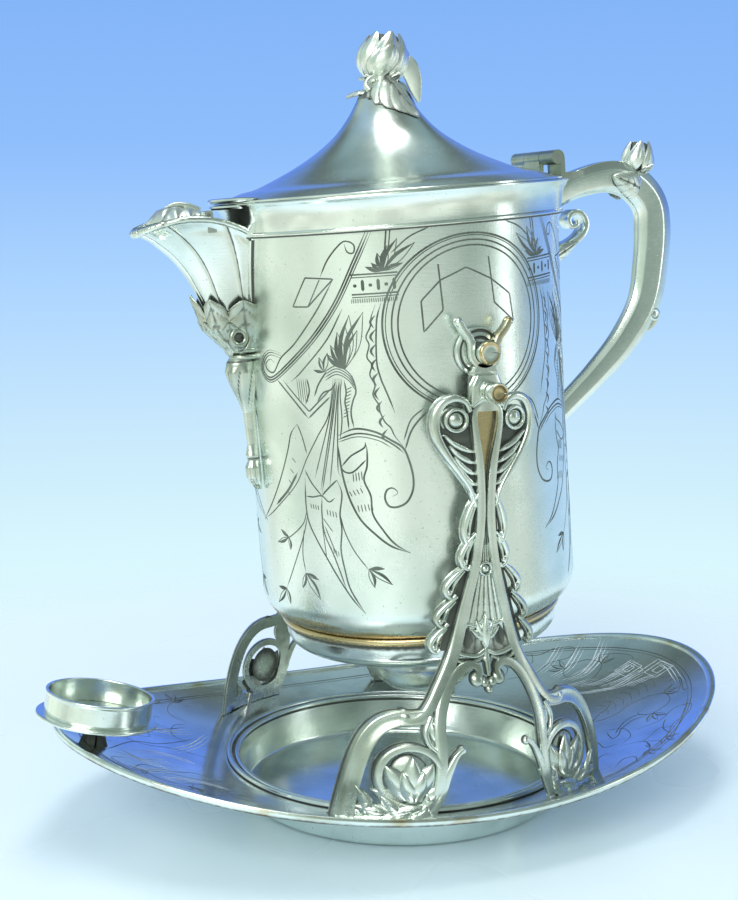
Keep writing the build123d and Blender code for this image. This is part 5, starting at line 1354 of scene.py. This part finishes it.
def make_lid():
    """Concave lid with its beak, and the finial of leaves and bud."""
    cone = [(lid_edge, lid_edge_level), (74.0, 311.6), (64.0, 314.0), (43.4, 323.4), (27.95, 333.5),
        (18.7, 343.25), (12.5, 353.0)]
    outer = smooth_line(cone, 60)
    outline = np.vstack([[(82.9, 303.5), (83.8, 303.5), (84.0, 304.2), (84.0, 307.4)], outer,
        [(2.0, 353.0), (2.0, 351.4)], (outer[::-1] - np.array([0.6, 1.5]))[:-1], [(82.9, 306.4)]])
    outline[:, 0] = np.maximum(outline[:, 0], stud_room)
    lid = Piece().add(spun(outline, 200), 0.0, ring=True)
    lid.add(beak_shelf(94.0, 307.7, 310.3), 0.05)
    bead = circle(lid_edge, lid_edge_level, 0.7, 10)
    bead[:, 0] = np.minimum(bead[:, 0], lid_edge + 0.5)
    lid.add(spun(bead, 192), 0.0, 0.15, ring=True)
    lid.moved(tilt).make("cone_lid", "lid", ["lid_shell"], "plate", 40)

    base = Piece()
    collar = smooth_line([(12.9, 352.4), (12.0, 353.8), (9.0, 356.5), (6.8, 361.0)], 14)
    outline = np.vstack([[(stud_room, 352.4)], collar, [(stud_room, 361.0)]])
    # The collar under the leaves is darkened as painted shade
    base.add(spun(outline, 64), 0.75, ring=True)
    lid_radii = [0, 6.8, 9.0, 12.0, 12.9, 15.6, 18.7, 23.3, 27.95, 43.4]
    lid_levels = [361, 361.0, 356.5, 353.8, 352.4, 347.6, 343.25, 338.2, 333.5, 323.4]
    # Three leaves that lie on the cone: angle, sweep, reach of the foot, length and width
    for k, (turn, sweep, start, length, width) in enumerate((
        (-112.0, 50.0, 5.0, 21.5, 20.0), (-4.0, 24.0, 7.5, 19.0, 13.0), (84.0, 10.0, 6.0, 21.0, 16.0),
    )):
        grid, shade = blade(length, width, 2.4, 2.0, 5, 0.0, 46, 48, True)
        along = grid[..., 0] / length
        cosine, sine = np.cos(np.radians(turn + sweep * along)), np.sin(np.radians(turn + sweep * along))
        reach = start + grid[..., 0] * 0.74
        side = grid[..., 1] * (1 + 0.05 * np.sin(along * 34 + k))
        x = reach * cosine - side * sine
        y = reach * sine + side * cosine
        level = np.interp(np.hypot(x, y), lid_radii, lid_levels)
        ripple = 0.5 * np.sin(along * 26 + k) * np.abs(side) / width
        base.add(grid_of(x, y, level + grid[..., 2] * 1.25 + 1.1 + ripple), shade)
    grid, shade = blade(14.0, 9.0, 1.6, 1.8, 4, 1.2, 26, 30)
    base.add(turned_about(grid, "Z", 156.0) + (-3.6, 1.6, 355.0), shade)
    # Curled leaf that rises to the right of the bud and hangs over
    arch = smooth_line([(4.0, 357.5), (5.4, 364.0), (8.0, 368.6), (11.6, 367.6), (14.0, 361.6),
        (15.2, 354.6), (16.2, 349.0)], 40)
    path = grid_of(0.904 * arch[:, 0], -0.427 * arch[:, 0] - 2.5, arch[:, 1])
    size = np.sin(np.pi * np.linspace(0.05, 0.98, 40)) ** 0.7
    lens = circle(0, 0, 1.0, 20) * (4.6, 0.9)
    base.add(swept(path, (-0.36, -0.76, 0.54), lens, np.stack([size, 0.4 + 0.6 * size], axis=-1)), 0.1)
    for turn in (60.0, 130.0, 205.0, 290.0):
        grid, shade = blade(11.0, 7.0, 1.6, 1.4, 3, -2.0, 20, 20)
        base.add(turned_about(turned_about(grid, "Y", -8.0) + (2.0, 0, 359.4), "Z", turn), shade)
    twig = smooth_line([(-3.0, -4.0, 361.0), (-8.0, -5.0, 361.6), (-11.0, -5.6, 359.0),
        (-9.6, -6.4, 356.4)], 22)
    size = along_path([0, 0.6, 1], [1.9, 1.6, 2.0], 22)
    base.add(swept(twig, (0.0, 1.0, 0.0), circle(0, 0, 1.0, 12), size), 0.2)
    base.moved(tilt).make("finial_foliage", "lid", ["finial_leaves"], "satin", 55)

    bud = bud_piece(11.6, 23.4, 5.0, 4, 40.0)
    bud.moved(lambda p: tilt(turned_about(p, "Y", 10.0) + (-0.4, 0, 360.2)))
    bud.make("finial_blossom", "lid", ["finial_bud"], "satin", 50)


# Engraving


def cut_line(piece, points, place, width=0.5, count=None, taper=True, bent=True, blade_like=False):
    """Engraved stroke: a flat four-sided ribbon that lies on a surface and narrows at its ends."""
    p = np.asarray(points, float)
    run = np.linalg.norm(np.diff(p, axis=0), axis=1).sum()
    count = count or int(np.clip(run * 1.4, 8, 90))
    line = smooth_line(p, count) if bent and len(p) > 2 else straight_line(p, count)
    spots = place(line[:, 0], line[:, 1])
    up = place(line[:, 0], line[:, 1], 1.0) - spots
    wave = np.sin(np.pi * np.clip(np.linspace(0, 1, count), 0.02, 0.98))
    size = np.clip(wave, 0.12, 1) if blade_like else np.clip(wave * 3.0, 0.25, 1)
    size = size if taper else np.ones(count)
    section = np.array([(width / 2, 0.0), (0.0, 0.07), (-width / 2, 0.0), (0.0, -0.25)])
    piece.add(swept(spots, up, section, np.stack([size, np.ones(count)], axis=-1)))


def strokes(piece, place, lines):
    """Smooth strokes, each given by its width and then by its points."""
    for width, *points in lines:
        cut_line(piece, points, place, width)


def cut_frame(piece, corners, place, width, count):
    """Closed frame of straight strokes."""
    cut_line(piece, [*corners, corners[0]], place, width, count, False, False)


def shifted(points, gap):
    """The same line of angles and heights moved sideways by a gap in millimetres."""
    scale = np.array([np.radians(body_radius), 1.0])
    line = smooth_line(points, 60) * scale
    way = np.gradient(line, axis=0)
    way /= np.linalg.norm(way, axis=1, keepdims=True)
    return (line + np.stack([-way[:, 1], way[:, 0]], axis=-1) * gap) / scale


def ticks(piece, start, step, count, reach, place, width=0.5):
    """Row of short parallel cuts: first foot, step from one to the next, and the reach of each."""
    for k in range(count):
        foot = np.asarray(start, float) + np.asarray(step, float) * k
        cut_line(piece, [foot, foot + np.asarray(reach, float)], place, width, 6)


def oval(center, wide, high, count=48):
    """Closed oval of angle and height."""
    t = np.linspace(0, 2 * np.pi, count)
    return np.stack([center[0] + wide * np.sin(t), center[1] + high * np.cos(t)], axis=-1)


def plume(piece, root, tips, place, width=1.3):
    """Tuft of solid pointed strokes that spread from a root, each with a thin line beside it."""
    root = np.asarray(root, float)
    for tip in tips:
        tip = np.asarray(tip, float)
        way = tip - root
        side = np.array([-way[1], way[0]]) * 0.09
        cut_line(piece, [root, root + way * 0.5 + side, tip], place, width, 14, blade_like=True)
        cut_line(piece, [root, root + way * 0.45 - side, tip], place, 0.45, 12)


def border_band(piece, start, end, top, drop, place):
    """Straight band with double edges, a row of dashes and dots between them and hatching below."""
    for level, width in ((0.0, 0.8), (0.13, 0.5), (0.90, 0.8), (1.03, 0.5)):
        edge = [(start, top[0] - drop * level), (end, top[1] - drop * level)]
        cut_line(piece, edge, place, width, 24, False)
    count = 6
    for k in range(count):
        share = (k + 0.5) / count
        angle = start + (end - start) * share
        level = top[0] + (top[1] - top[0]) * share - drop * 0.5
        if k % 2:
            cut_line(piece, [(angle, level + drop * 0.26), (angle, level - drop * 0.26)], place, 1.5, 8)
        else:
            cut_line(piece, [(angle - 0.6, level), (angle + 0.6, level)], place, 1.5, 6)
    ticks(piece, (start, top[0] - drop * 1.08), ((end - start) / 26, 0), 26, (-0.3, -2.2), place, 0.4)


def left_ornament(piece, place):
    """Swags, bouquet, leaves and scrolls on the side of the body towards the spout."""
    # Broad swag that ends in a volute, with the pointed ribbon under it
    swag = [(-31.8, 293.4), (-37.5, 278.5), (-45.4, 259.5), (-55.4, 243.5), (-67.8, 230.3), (-76.0, 224.8),
        (-80.6, 228.5), (-79.0, 234.4), (-74.9, 237.6), (-69.2, 236.3)]
    for gap, width in ((-1.0, 0.8), (0.2, 0.9), (1.3, 0.5)):
        cut_line(piece, shifted(swag, gap), place, width)
    strokes(piece, place, [
        (0.75, (-45.3, 271), (-52.8, 256.2), (-62, 242.6), (-69.3, 235.4), (-73.7, 228.6), (-77.2, 229.3),
         (-78.1, 232.1), (-75.3, 234.6), (-73, 233)),
        (0.7, (-43.1, 257.5), (-49.8, 243.3), (-60.2, 229.6), (-65.6, 224.3)),
        (0.9, (-72.5, 225.3), (-66, 217), (-59.3, 207.4)),
    ])
    cut_line(piece, [(-69.4, 225.0), (-58.7, 210.6), (-49.1, 221.7)], place, 0.7, 40, bent=False)
    cut_line(piece, [(-59.3, 207.4), (-50.1, 217.6)], place, 0.8)
    ticks(piece, (-62.8, 226.0), (0.9, 0.0), 5, (0.3, -11.0), place, 0.4)
    # Hook with its slanting frame
    cut_line(piece, [(-40.6, 286.3), (-39.8, 282.7), (-37.9, 282.1), (-37.4, 285.2), (-38.9, 287.1),
        (-41.5, 286.9), (-46.4, 280.2), (-49.8, 272.3)], place, 0.75)
    cut_frame(piece, [(-55.4, 272.2), (-45.3, 271.1), (-55.3, 259.0), (-61.4, 259.2)], place, 0.75, 50)
    cut_line(piece, [(-50.2, 271.0), (-55.3, 259.0)], place, 0.6, 12, False)
    # Bouquet: plume, tie, stalks and the ribbon beside them
    plume(piece, (-44.0, 230.0), [(-36.3, 255.7), (-38.7, 247.7), (-41.0, 254.7), (-42.6, 249.8),
        (-45.6, 247.2), (-48.4, 241.4), (-50.2, 237.4)], place, 1.9)
    plume(piece, (-51.5, 229.0), [(-49.6, 238.0), (-53.0, 236.0), (-55.5, 230.0)], place, 1.1)
    for lower in (0.0, 1.3, 2.6, 3.9):
        cut_line(piece, [(-51.5, 229.1 - lower), (-47.0, 231.8 - lower), (-43.0, 228.9 - lower),
            (-40.9, 224.2 - lower)], place, 0.5)
    strokes(piece, place, [
        (0.8, (-58.5, 226), (-58, 220), (-60, 214)),
        (0.8, (-56, 218), (-54, 223.5), (-50.5, 229.5)),
        (0.8, (-55, 215.5), (-52.5, 219.5), (-49.5, 221), (-47.5, 224.5)),
        (0.8, (-41.7, 227.4), (-40.8, 220.1), (-42.1, 215.5), (-43.1, 210), (-42.5, 203)),
        (0.8, (-44.6, 225.3), (-44.2, 219.7), (-44.9, 215.1), (-44.5, 210.5), (-44.3, 202.2)),
    ])
    ticks(piece, (-42.0, 222.0), (-0.25, -1.6), 9, (-2.0, -1.2), place, 0.45)
    strokes(piece, place, [
        (0.6, (-47.8, 226), (-51.3, 206.9), (-58.8, 179.2)),
        (0.6, (-47.4, 226), (-50.6, 205.9), (-56.8, 173.6)),
        (0.6, (-46.9, 226), (-48.4, 216.1), (-51.5, 197.5), (-56.5, 171.7)),
        (0.6, (-46.3, 226), (-47.7, 216.1), (-50.7, 192.8), (-53.1, 175.7)),
        (0.6, (-45.8, 226), (-47.3, 216.1), (-49.4, 185.3), (-48.6, 180.6)),
        (0.6, (-45.3, 226), (-46.4, 218.4), (-46.5, 206.8), (-47.8, 197.5)),
        (0.6, (-48.4, 226), (-51.1, 209.7), (-56.1, 199.3), (-61.5, 188.5), (-68.3, 174.4), (-81.6, 160.5),
         (-91.4, 153.7)),
    ])
    # Wavy tassel beside the oval
    strokes(piece, place, [
        (0.7, (-32.2, 258.5), (-33.8, 253.2), (-34.4, 248.8), (-36, 244.4), (-35.2, 240.7), (-36.2, 235.3),
         (-34.8, 231.6), (-35.7, 227.1), (-34.3, 222.4), (-35.2, 217.9), (-33.5, 213.2), (-33.3, 210),
         (-32, 205.3), (-30.2, 202.4), (-29.1, 198.6), (-26.7, 193.7)),
        (0.8, (-30.3, 259.2), (-31.9, 253), (-32.6, 245.9), (-33, 238.7), (-33.1, 231.5), (-32.2, 225),
         (-31.1, 220.4), (-29.5, 213.8), (-28.5, 209.1)),
    ])
    for level in np.linspace(254, 202, 9):
        lean = -33.6 + 0.0016 * (level - 235) ** 2
        wave = [(lean + 0.6, level), (lean - 1.2, level - 3.0), (lean - 0.2, level - 6.0)]
        cut_line(piece, wave, place, 1.2, 10, blade_like=True)
    # Lower scroll and the lines that rise from it
    scroll = [(-48.8, 199.4), (-42.2, 202.6), (-35.5, 200.9), (-30.5, 196.8), (-26.7, 192.8),
        (-25.1, 187.1), (-24.1, 179.5), (-24.5, 173.0), (-26.7, 167.6), (-30.1, 165.5), (-32.8, 166.2),
        (-33.9, 170.0), (-33.0, 173.7), (-31.0, 174.5), (-29.5, 172.1), (-31.2, 170.6)]
    cut_line(piece, scroll, place, 1.0)
    strokes(piece, place, [
        (0.8, (-48.9, 197.6), (-41.7, 200.4), (-34.8, 198.7), (-29.6, 194.4), (-26.5, 190.4)),
        (0.45, (-48.9, 196.4), (-41.7, 198.9), (-34.9, 197), (-30.4, 193.2)),
        (0.9, (-17.4, 209.3), (-20.9, 205.1), (-23.8, 199.9), (-26.1, 191.8)),
        (0.7, (-19, 210.4), (-23.5, 205.4), (-26.2, 196.5)),
    ])
    # Three folded leaves under the bouquet
    strokes(piece, place, [
        (0.8, (-64.6, 204.5), (-68, 199.5), (-70.3, 191.6), (-74, 181.4), (-78.9, 170.9), (-84.5, 161.9),
         (-91.4, 153.7)),
        (0.7, (-64.6, 204.5), (-62.9, 198.9), (-61.4, 190.5)),
        (1.3, (-66.5, 181), (-72, 172), (-80, 163.5)),
        (0.9, (-39.1, 196.4), (-38.7, 192.7), (-39.1, 185.2), (-40.5, 178.7), (-38.6, 171.1),
         (-38.4, 162.7), (-35.4, 155), (-31.7, 148.2), (-26.7, 143.5)),
        (1.0, (-48.9, 197.5), (-48.3, 185.3), (-47.4, 176.9), (-45.7, 168.4), (-42.7, 159.9),
         (-38.2, 153.2), (-33.1, 147.3), (-26.7, 143.5)),
        (0.8, (-47.9, 185.3), (-44.4, 190), (-39.6, 193.7), (-39.1, 196.4)),
        (0.8, (-48, 184.4), (-47, 182.5), (-44.1, 182.5), (-39.3, 188)),
        (0.8, (-63.2, 178.8), (-63.8, 166.3), (-63.1, 157.6), (-60.2, 149.3), (-56.6, 140.9),
         (-51.8, 129.8), (-47.1, 120.4), (-43.5, 114.8)),
        (0.8, (-50.2, 178.7), (-48.8, 172.1), (-50.1, 162.6), (-49.9, 154.9), (-50.8, 145.3),
         (-49.9, 135.7), (-48.3, 126.2), (-43.5, 114.8)),
        (0.7, (-56.6, 170.8), (-57.2, 162.1), (-56.7, 152.5), (-53.4, 141.3), (-49.8, 126.1)),
        (0.7, (-62.9, 182.7), (-60.7, 177.2), (-58.4, 173.5), (-56.6, 170.8)),
        (0.8, (-56.6, 170.8), (-54.4, 173.8), (-50.2, 178.7)),
        (0.7, (-63.5, 170.2), (-60.4, 170), (-56.6, 170.8), (-54, 168.1), (-51.5, 170.1)),
        (0.5, (-57.5, 158.2), (-56.7, 140)),
        (0.6, (-56.4, 156.4), (-52.2, 141.3)),
        (0.5, (-56.9, 160.2), (-53.4, 153.8)),
    ])
    # Hatching of the leaves: first foot, step, count and reach
    for start, step, count, reach in (
        ((-44.2, 182.0), (1.0, 0.3), 4, (0.1, -4.4)), ((-46.0, 173.5), (1.3, 0.5), 4, (0.9, -2.6)),
        ((-43.4, 167.0), (1.2, 0.2), 5, (0.4, -3.6)), ((-61.6, 166.8), (1.0, -0.2), 4, (0.2, -2.4)),
        ((-55.0, 164.5), (1.1, -0.3), 4, (0.2, -3.0)), ((-68.6, 188.0), (-1.4, -5.4), 4, (1.8, -2.2)),
    ):
        ticks(piece, start, step, count, reach, place)
    ticks(piece, (-54.6, 146.5), (0.9, -0.6), 4, (0.2, -2.6), place, 0.4)
    # Thin sprigs: the stem's points, then the foot and the tips of three small leaves at its end
    for stem, foot, tips in (
        ([(-63.6, 163.4), (-66.0, 156.3), (-72.8, 149.3), (-80.7, 144.7)],
         (-74.0, 148.6), [(-78.6, 151.7), (-81.5, 144.6), (-73.5, 142.3)]),
        ([(-63.3, 161.5), (-66.6, 149.4), (-73.3, 132.4), (-77.9, 122.4)],
         (-77.9, 122.4), [(-83.5, 121.9), (-84.6, 113.4), (-76.1, 114.8)]),
        ([(-65.8, 153.4), (-67.3, 141.5), (-66.5, 132.7)],
         (-66.6, 132.2), [(-60.8, 129.7), (-60.6, 120.0), (-68.7, 124.4)]),
        ([(-50.1, 162.6), (-48.8, 154.0), (-45.7, 144.6), (-41.2, 136.0)],
         (-41.2, 136.5), [(-35.7, 136.5), (-33.4, 128.7), (-39.6, 127.4)]),
    ):
        cut_line(piece, stem, place, 0.6)
        plume(piece, foot, tips, place, 1.5)


def engrave_body():
    """Ornament of the body on both faces, each the same to the left and to the right."""
    piece = Piece()
    oval_center = (-0.5, 247.0)
    for half_turn in (0.0, 180.0):
        front = lambda a, z, lift=0.0: on_body(a + half_turn, z, lift)
        mirrored = lambda a, z, lift=0.0: on_body(half_turn - a, z, lift)
        for wide, high, width in ((30.0, 40.0, 1.0), (29.0, 39.0, 0.5), (27.0, 37.0, 0.8), (25.0, 34.6, 0.8)):
            cut_line(piece, oval(oval_center, wide, high), front, width, 130, False)
        ribbon = [(-11.4, 274.4), (-10.6, 253.8), (-17.3, 244.7), (-17.6, 258.7), (-11, 267.2), (-2, 271.9),
            (6.7, 265.8), (14.3, 257.9), (15.5, 245.3), (12.1, 249.5), (7.8, 254.7), (6.3, 275.7)]
        cut_line(piece, ribbon, front, 0.8, 110, False, False)
        border_band(piece, -39.5, -24.4, (272.4, 272.4), 9.8, front)
        border_band(piece, 23.6, 39.2, (272.4, 273.0), 10.0, front)
        for side in (1, -1):
            fan = lambda points: [(side * a, z) for a, z in points]
            plume(piece, (side * -28.9, 273.3), fan([(-23.8, 287.3), (-18.3, 284.9), (-22.5, 276.3),
                (-32.5, 277.2), (-30.4, 281.5), (-34.5, 275.6), (-27.0, 284.5)]), front, 1.8)
            cut_line(piece, fan([(-26.0, 281.0), (-20.0, 287.5), (-13.6, 291.0)]), front, 0.7)
            cut_line(piece, fan([(-26.9, 292.5), (-28.6, 275.0)]), front, 0.8)
            cut_line(piece, fan([(-25.6, 293.2), (-26.9, 281.0)]), front, 0.6)
        left_ornament(piece, front)
        left_ornament(piece, mirrored)
    piece.moved(tilt).make("body_engraving", "pitcher", [], "cut", 60)


def engrave_tray():
    """Scrolls in all four quarters of the tray, a border and the free strokes of its ends."""
    scrolls = Piece()
    for flip_x in (1, -1):
        for flip_y in (1, -1):
            place = lambda x, y, lift=0.0: on_dish(flip_x * x, flip_y * y, lift)
            strokes(scrolls, place, [
                (0.7, (100, 18), (116, 24), (132, 22), (144, 30), (140, 42), (128, 44), (124, 36),
                 (131, 33)),
                (0.7, (112, 52), (124, 56), (136, 52), (142, 58), (134, 66), (124, 68), (112, 78),
                 (98, 84)),
                (0.6, (96, 62), (104, 70), (100, 82), (88, 90), (72, 96), (58, 97), (52, 92), (58, 88)),
                (0.55, (104, 36), (110, 44), (106, 56), (98, 60)),
                (0.55, (150, 12), (158, 20), (154, 32), (146, 40)),
                (0.5, (38, 100), (46, 106), (62, 104), (76, 104)),
            ])
            if flip_x > 0:
                for k in range(7):
                    rib = [(118 + 5 * k, 4.0), (120 + 5 * k, 12.0), (116 + 5 * k, 20.0)]
                    cut_line(scrolls, rib, place, 0.4, 10)
                corners = [(104.0, 70.0), (118.0, 64.0), (122.0, 72.0), (108.0, 80.0)]
                cut_frame(scrolls, corners, place, 0.5, 36)
            for x, y, tips in (
                (128, 44, [(120, 50), (124, 54), (130, 54)]), (98, 84, [(90, 90), (94, 94), (100, 93)]),
                (144, 30, [(152, 28), (152, 34), (148, 38)]), (112, 78, [(104, 86), (110, 88), (116, 84)]),
            ):
                plume(scrolls, (x, y), tips, place)
    strokes(scrolls, on_dish, [
        (0.8, (88, -48), (93, -45), (91, -55), (97, -58)),
        (0.8, (103, -38), (101, -44), (100, -49), (104, -48), (109, -43), (114, -41), (119, -40),
         (125, -43)),
        (0.8, (104, -45), (110, -40), (115, -37), (120, -36), (125, -37)),
        (0.8, (94, -93), (103, -88), (110, -85), (118, -78), (133, -64), (145, -52)),
        (0.8, (126, -58), (119, -66), (116, -75), (117, -78)),
        (0.8, (78, -86), (85, -81), (89, -85), (84, -94)),
        (0.8, (72, -70), (84, -64), (87, -67)),
        (0.8, (103, -22), (112, -16), (119, -14), (127, -7)),
        (0.8, (104, -73), (100, -82), (101, -76)),
        (0.8, (152, -22), (158, -26), (151, -39), (154, -41)),
        (0.8, (-148, 52), (-138, 52), (-124, 63), (-111, 64)),
        (0.8, (-150, 28), (-135, 42), (-122, 45), (-100, 56)),
        (0.8, (-157, -5), (-138, 21), (-121, 28), (-98, 43)),
        (0.8, (-150, -30), (-142, -16), (-129, -17), (-115, -12), (-104, -22)),
        (0.8, (-130, -40), (-118, -34), (-112, -44), (-100, -46)),
    ])
    line = np.linspace(0, 2 * np.pi, 200)
    for inset, width in ((10.0, 0.8), (12.0, 0.5)):
        ring = [(tray_half_length - inset) * np.cos(line), (tray_half_width - inset) * np.sin(line)]
        cut_line(scrolls, np.transpose(ring), on_dish, width, 260, False)
    scrolls.make("tray_engraving", "stand", [], "cut", 60)


def cut_tray_bright():
    """Bright-cut strokes of the tray, painted pale as the glint of their cut facets, in rows of three that
    grow thinner, and its key pattern.
    """
    bright = Piece()
    for points in (
        [(121, 35), (133, 33), (154, 43)], [(123, 23), (132, 17), (148, 14)],
        [(125, 12), (135, 4), (149, 3)], [(131, 11), (141, 7), (152, 4)], [(138, -1), (147, -4), (154, -7)],
        [(126, 35), (140, 36), (156, 50)], [(117, 31), (123, 27), (132, 23)],
        [(161, 0), (161, -9), (154, -28)], [(138, 16), (147, 16), (155, 16)],
        [(114, 22), (123, 13), (132, 6)], [(118, 44), (130, 46), (146, 58)],
        [(112, 54), (124, 58), (138, 68)], [(-152, -4), (-140, -4), (-126, 3)],
        [(-150, -26), (-140, -22), (-127, -10)], [(-148, 3), (-140, -7), (-132, -7)],
        [(-128, 49), (-112, 49), (-100, 53)], [(-117, 23), (-103, 35), (-90, 51)],
        [(-138, -34), (-122, -26), (-108, -30)], [(-142, 8), (-126, 14), (-112, 10)],
    ):
        for shift in (0.0, 2.1, 4.4):
            moved = np.array(points) + (shift * 0.5, -shift)
            cut_line(bright, moved, on_dish, 1.2 - 0.15 * shift, 22, blade_like=True)
    for x, y in ((150.0, 12.0), (158.0, -6.0)):
        for half in (5.6, 2.6):
            left, right, low, high = x - half, x + half, y - half, y + half
            cut_frame(bright, [(left, low), (right, low), (right, high), (left, high)], on_dish, 0.7, 44)
    cut_line(bright, [(154, 18), (154, 3), (150, 3), (164, 3), (164, -12)], on_dish, 0.7, 40, False, False)
    bright.make("tray_bright_cuts", "stand", [], "pale", 60)


# Kept solids, stage and light


def dress_kept_nodes():
    """Finish of the solids that are shown as they are."""
    kept = {
        "enamel": ["inner_liner"],
        "plate": ["ice_guard", "spout_throat", "lid_lining"],
        "cast": ["lid_knuckle", "hinge_plate"],
        "steel": ["hinge_pin", "flap_pin", "finial_stud", "finial_nut", "standard_screws"],
    }
    for finish, nodes in kept.items():
        for node in nodes:
            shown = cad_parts[node]
            shown.data.materials.clear()
            shown.data.materials.append(finishes[finish])


def make_stage():
    """Pale floor, painted darker and bluer near the object as painted shadow, that fades into the backdrop's
    colour away from the object.
    """
    corners = 64
    angle = full_turn(corners)
    rings = np.array([0.0, 0.3, 0.7, 1.4])[:, None]
    points = grid_of(rings * np.cos(angle), rings * np.sin(angle), floor_level)
    mesh = bpy.data.meshes.new("floor")
    index = np.arange(len(rings) * corners).reshape(-1, corners)
    mesh.from_pydata(points.reshape(-1, 3).tolist(), [], quads(index[1:], index[:-1]).tolist())
    material, f, place = new_material("pale floor")
    reach = f.node("ShaderNodeVectorMath", {"operation": "LENGTH"}, {0: place}, 1)
    grain = f.noise(place, 6.0, 2.0)
    # Painted shadow: darker and bluer near the object, paler further out
    color = f.blend(f.step(reach + (grain - 0.5) * 0.05, 0.12, 0.50), (0.80, 0.93, 0.98), (0.92, 1.0, 1.0))
    inputs = {"Base Color": color, "Roughness": 0.22 + grain * 0.1, "Specular IOR Level": 0.5}
    solid = f.node("ShaderNodeBsdfPrincipled", {}, inputs)
    clear = f.node("ShaderNodeBsdfTransparent", {}, {})
    fade = f.step(reach, 0.26, 0.62)
    both = f.node("ShaderNodeMixShader", {}, {0: fade, 1: solid, 2: clear})
    f.node("ShaderNodeOutputMaterial", {}, {0: both})
    mesh.materials.append(material)
    placed("floor", mesh)


def light_world():
    """Blue backdrop that pales towards the floor, seen by the camera, and the studio seen by metal.

    Metal sees, by the height of the direction and by how far it points to the viewer and to the
    left: a white side to the left front, a grey one to the right, deeper blue paper behind, a dark
    strip above it and a pale ceiling. Matt surfaces get one even light.
    """
    world = bpy.data.worlds.new("backdrop")
    bpy.context.scene.world = world
    world.use_nodes = True
    f = Finish(world.node_tree)
    way = f.node("ShaderNodeTexCoord", {}, {}, 0)
    dot = {"operation": "DOT_PRODUCT"}
    front, left, up = [
        f.node("ShaderNodeVectorMath", dot, {0: way, 1: axis}, 1)
        for axis in ((-0.427, -0.904, 0.0), (-0.904, 0.427, 0.0), (0.0, 0.0, 1.0))
    ]
    ramp = lambda stops: f.node("ShaderNodeValToRGB", {"stops": stops}, {0: up * 0.5 + 0.5})
    paper = ramp([(0.0, (0.80, 0.98, 1.0)), (0.36, (0.76, 0.98, 1.0)), (0.395, (0.69, 0.93, 0.99)),
        (0.43, (0.60, 0.83, 0.98)), (0.48, (0.43, 0.68, 1.0)), (0.53, (0.28, 0.52, 0.98)),
        (0.58, (0.23, 0.46, 0.93)), (1.0, (0.20, 0.42, 0.90))])
    mirrored_paper = ramp([(0.0, (0.80, 0.98, 1.0)), (0.40, (0.62, 0.85, 1.0)), (0.50, (0.28, 0.50, 0.98)),
        (0.56, (0.16, 0.31, 0.95)), (0.66, (0.13, 0.28, 0.86)), (0.72, (0.16, 0.29, 0.62)),
        (0.775, (0.10, 0.13, 0.11)), (0.81, (0.12, 0.16, 0.14)), (0.86, (0.24, 0.37, 0.42)),
        (0.93, (0.30, 0.42, 0.44)), (1.0, (0.34, 0.42, 0.38))])
    room = ramp([(0.0, (0.92, 1.0, 0.94)), (0.36, (0.92, 1.0, 0.93)), (0.435, (0.84, 0.96, 0.87)),
        (0.485, (0.52, 0.65, 0.58)), (0.60, (0.50, 0.63, 0.56)), (0.74, (0.58, 0.72, 0.67)),
        (0.88, (0.44, 0.54, 0.50)), (1.0, (0.44, 0.54, 0.50))])
    patch = f.step(f.noise(way, 2.6, 2.0), 0.42, 0.60)
    below = 1.0 - f.step(up, -0.30, -0.04)
    lit_left = f.step(left, -0.30, -0.06)
    lit_left = lit_left + (1.0 - lit_left) * below * 0.85
    side = f.blend(lit_left, (0.60, 0.62, 0.62), (1.14, 1.12, 1.07))
    room = f.node("ShaderNodeMix", {"data_type": "RGBA", "blend_type": "MULTIPLY"},
        {0: 1.0, 6: room, 7: side}, 2)
    room = f.blend(patch * 0.38, room, (0.12, 0.15, 0.13))
    high = f.step(up, 0.50, 0.72)
    high_left = f.blend(f.step(left, 0.05, 0.45), (0.13, 0.17, 0.155), (0.36, 0.56, 0.86))
    room = f.blend(high * f.step(front * -1.0, -0.55, 0.2) * 0.7, room, high_left)
    behind = f.step(front * -1.0, -0.05, 0.45) * (1.0 - f.step(left, 0.45, 0.85))
    seen = f.blend(behind, room, mirrored_paper)
    paths = f.tree.nodes.new("ShaderNodeLightPath")
    is_camera = Wire(f, paths.outputs["Is Camera Ray"])
    is_glossy = Wire(f, paths.outputs["Is Glossy Ray"])
    mirrored = f.blend(is_glossy, (0.66, 0.74, 0.78), seen)
    color = f.blend(is_camera, mirrored, paper)
    shader = f.node("ShaderNodeBackground", {}, {0: color, 1: 1.0})
    f.node("ShaderNodeOutputWorld", {}, {0: shader})


def lamp(name, spot, target, size, power, color):
    """Soft square lamp that faces a point."""
    data = bpy.data.lights.new(name, "AREA")
    data.shape = "RECTANGLE"
    data.size, data.size_y = size
    data.energy = power
    data.color = color
    made = placed(name, data)
    made.location = spot
    made.rotation_euler = (Vector(target) - Vector(spot)).to_track_quat("-Z", "Y").to_euler()


def make_lights():
    """Large soft lamp from the left front, a smaller one above and a weak one from the right."""
    middle = (0.0, 0.0, 0.2)
    lamp("key", (-1.1, -1.0, 0.95), middle, (0.9, 0.7), 12.0, (1.0, 1.0, 0.97))
    lamp("top", (-0.05, 0.05, 1.5), middle, (0.85, 0.40), 6.0, (1.0, 1.0, 1.0))
    lamp("side", (1.2, -0.9, 0.5), middle, (0.25, 0.9), 1.6, (0.95, 0.98, 1.0))


place_camera()
make_tray()
make_goblet_ring()
make_standards()
make_body()
make_trunnions()
make_spout()
make_flap()
make_calyx()
make_pendant()
make_handle()
make_lid()
engrave_body()
engrave_tray()
cut_tray_bright()
dress_kept_nodes()
make_stage()
light_world()
make_lights()
bpy.context.scene.view_settings.view_transform = "Standard"
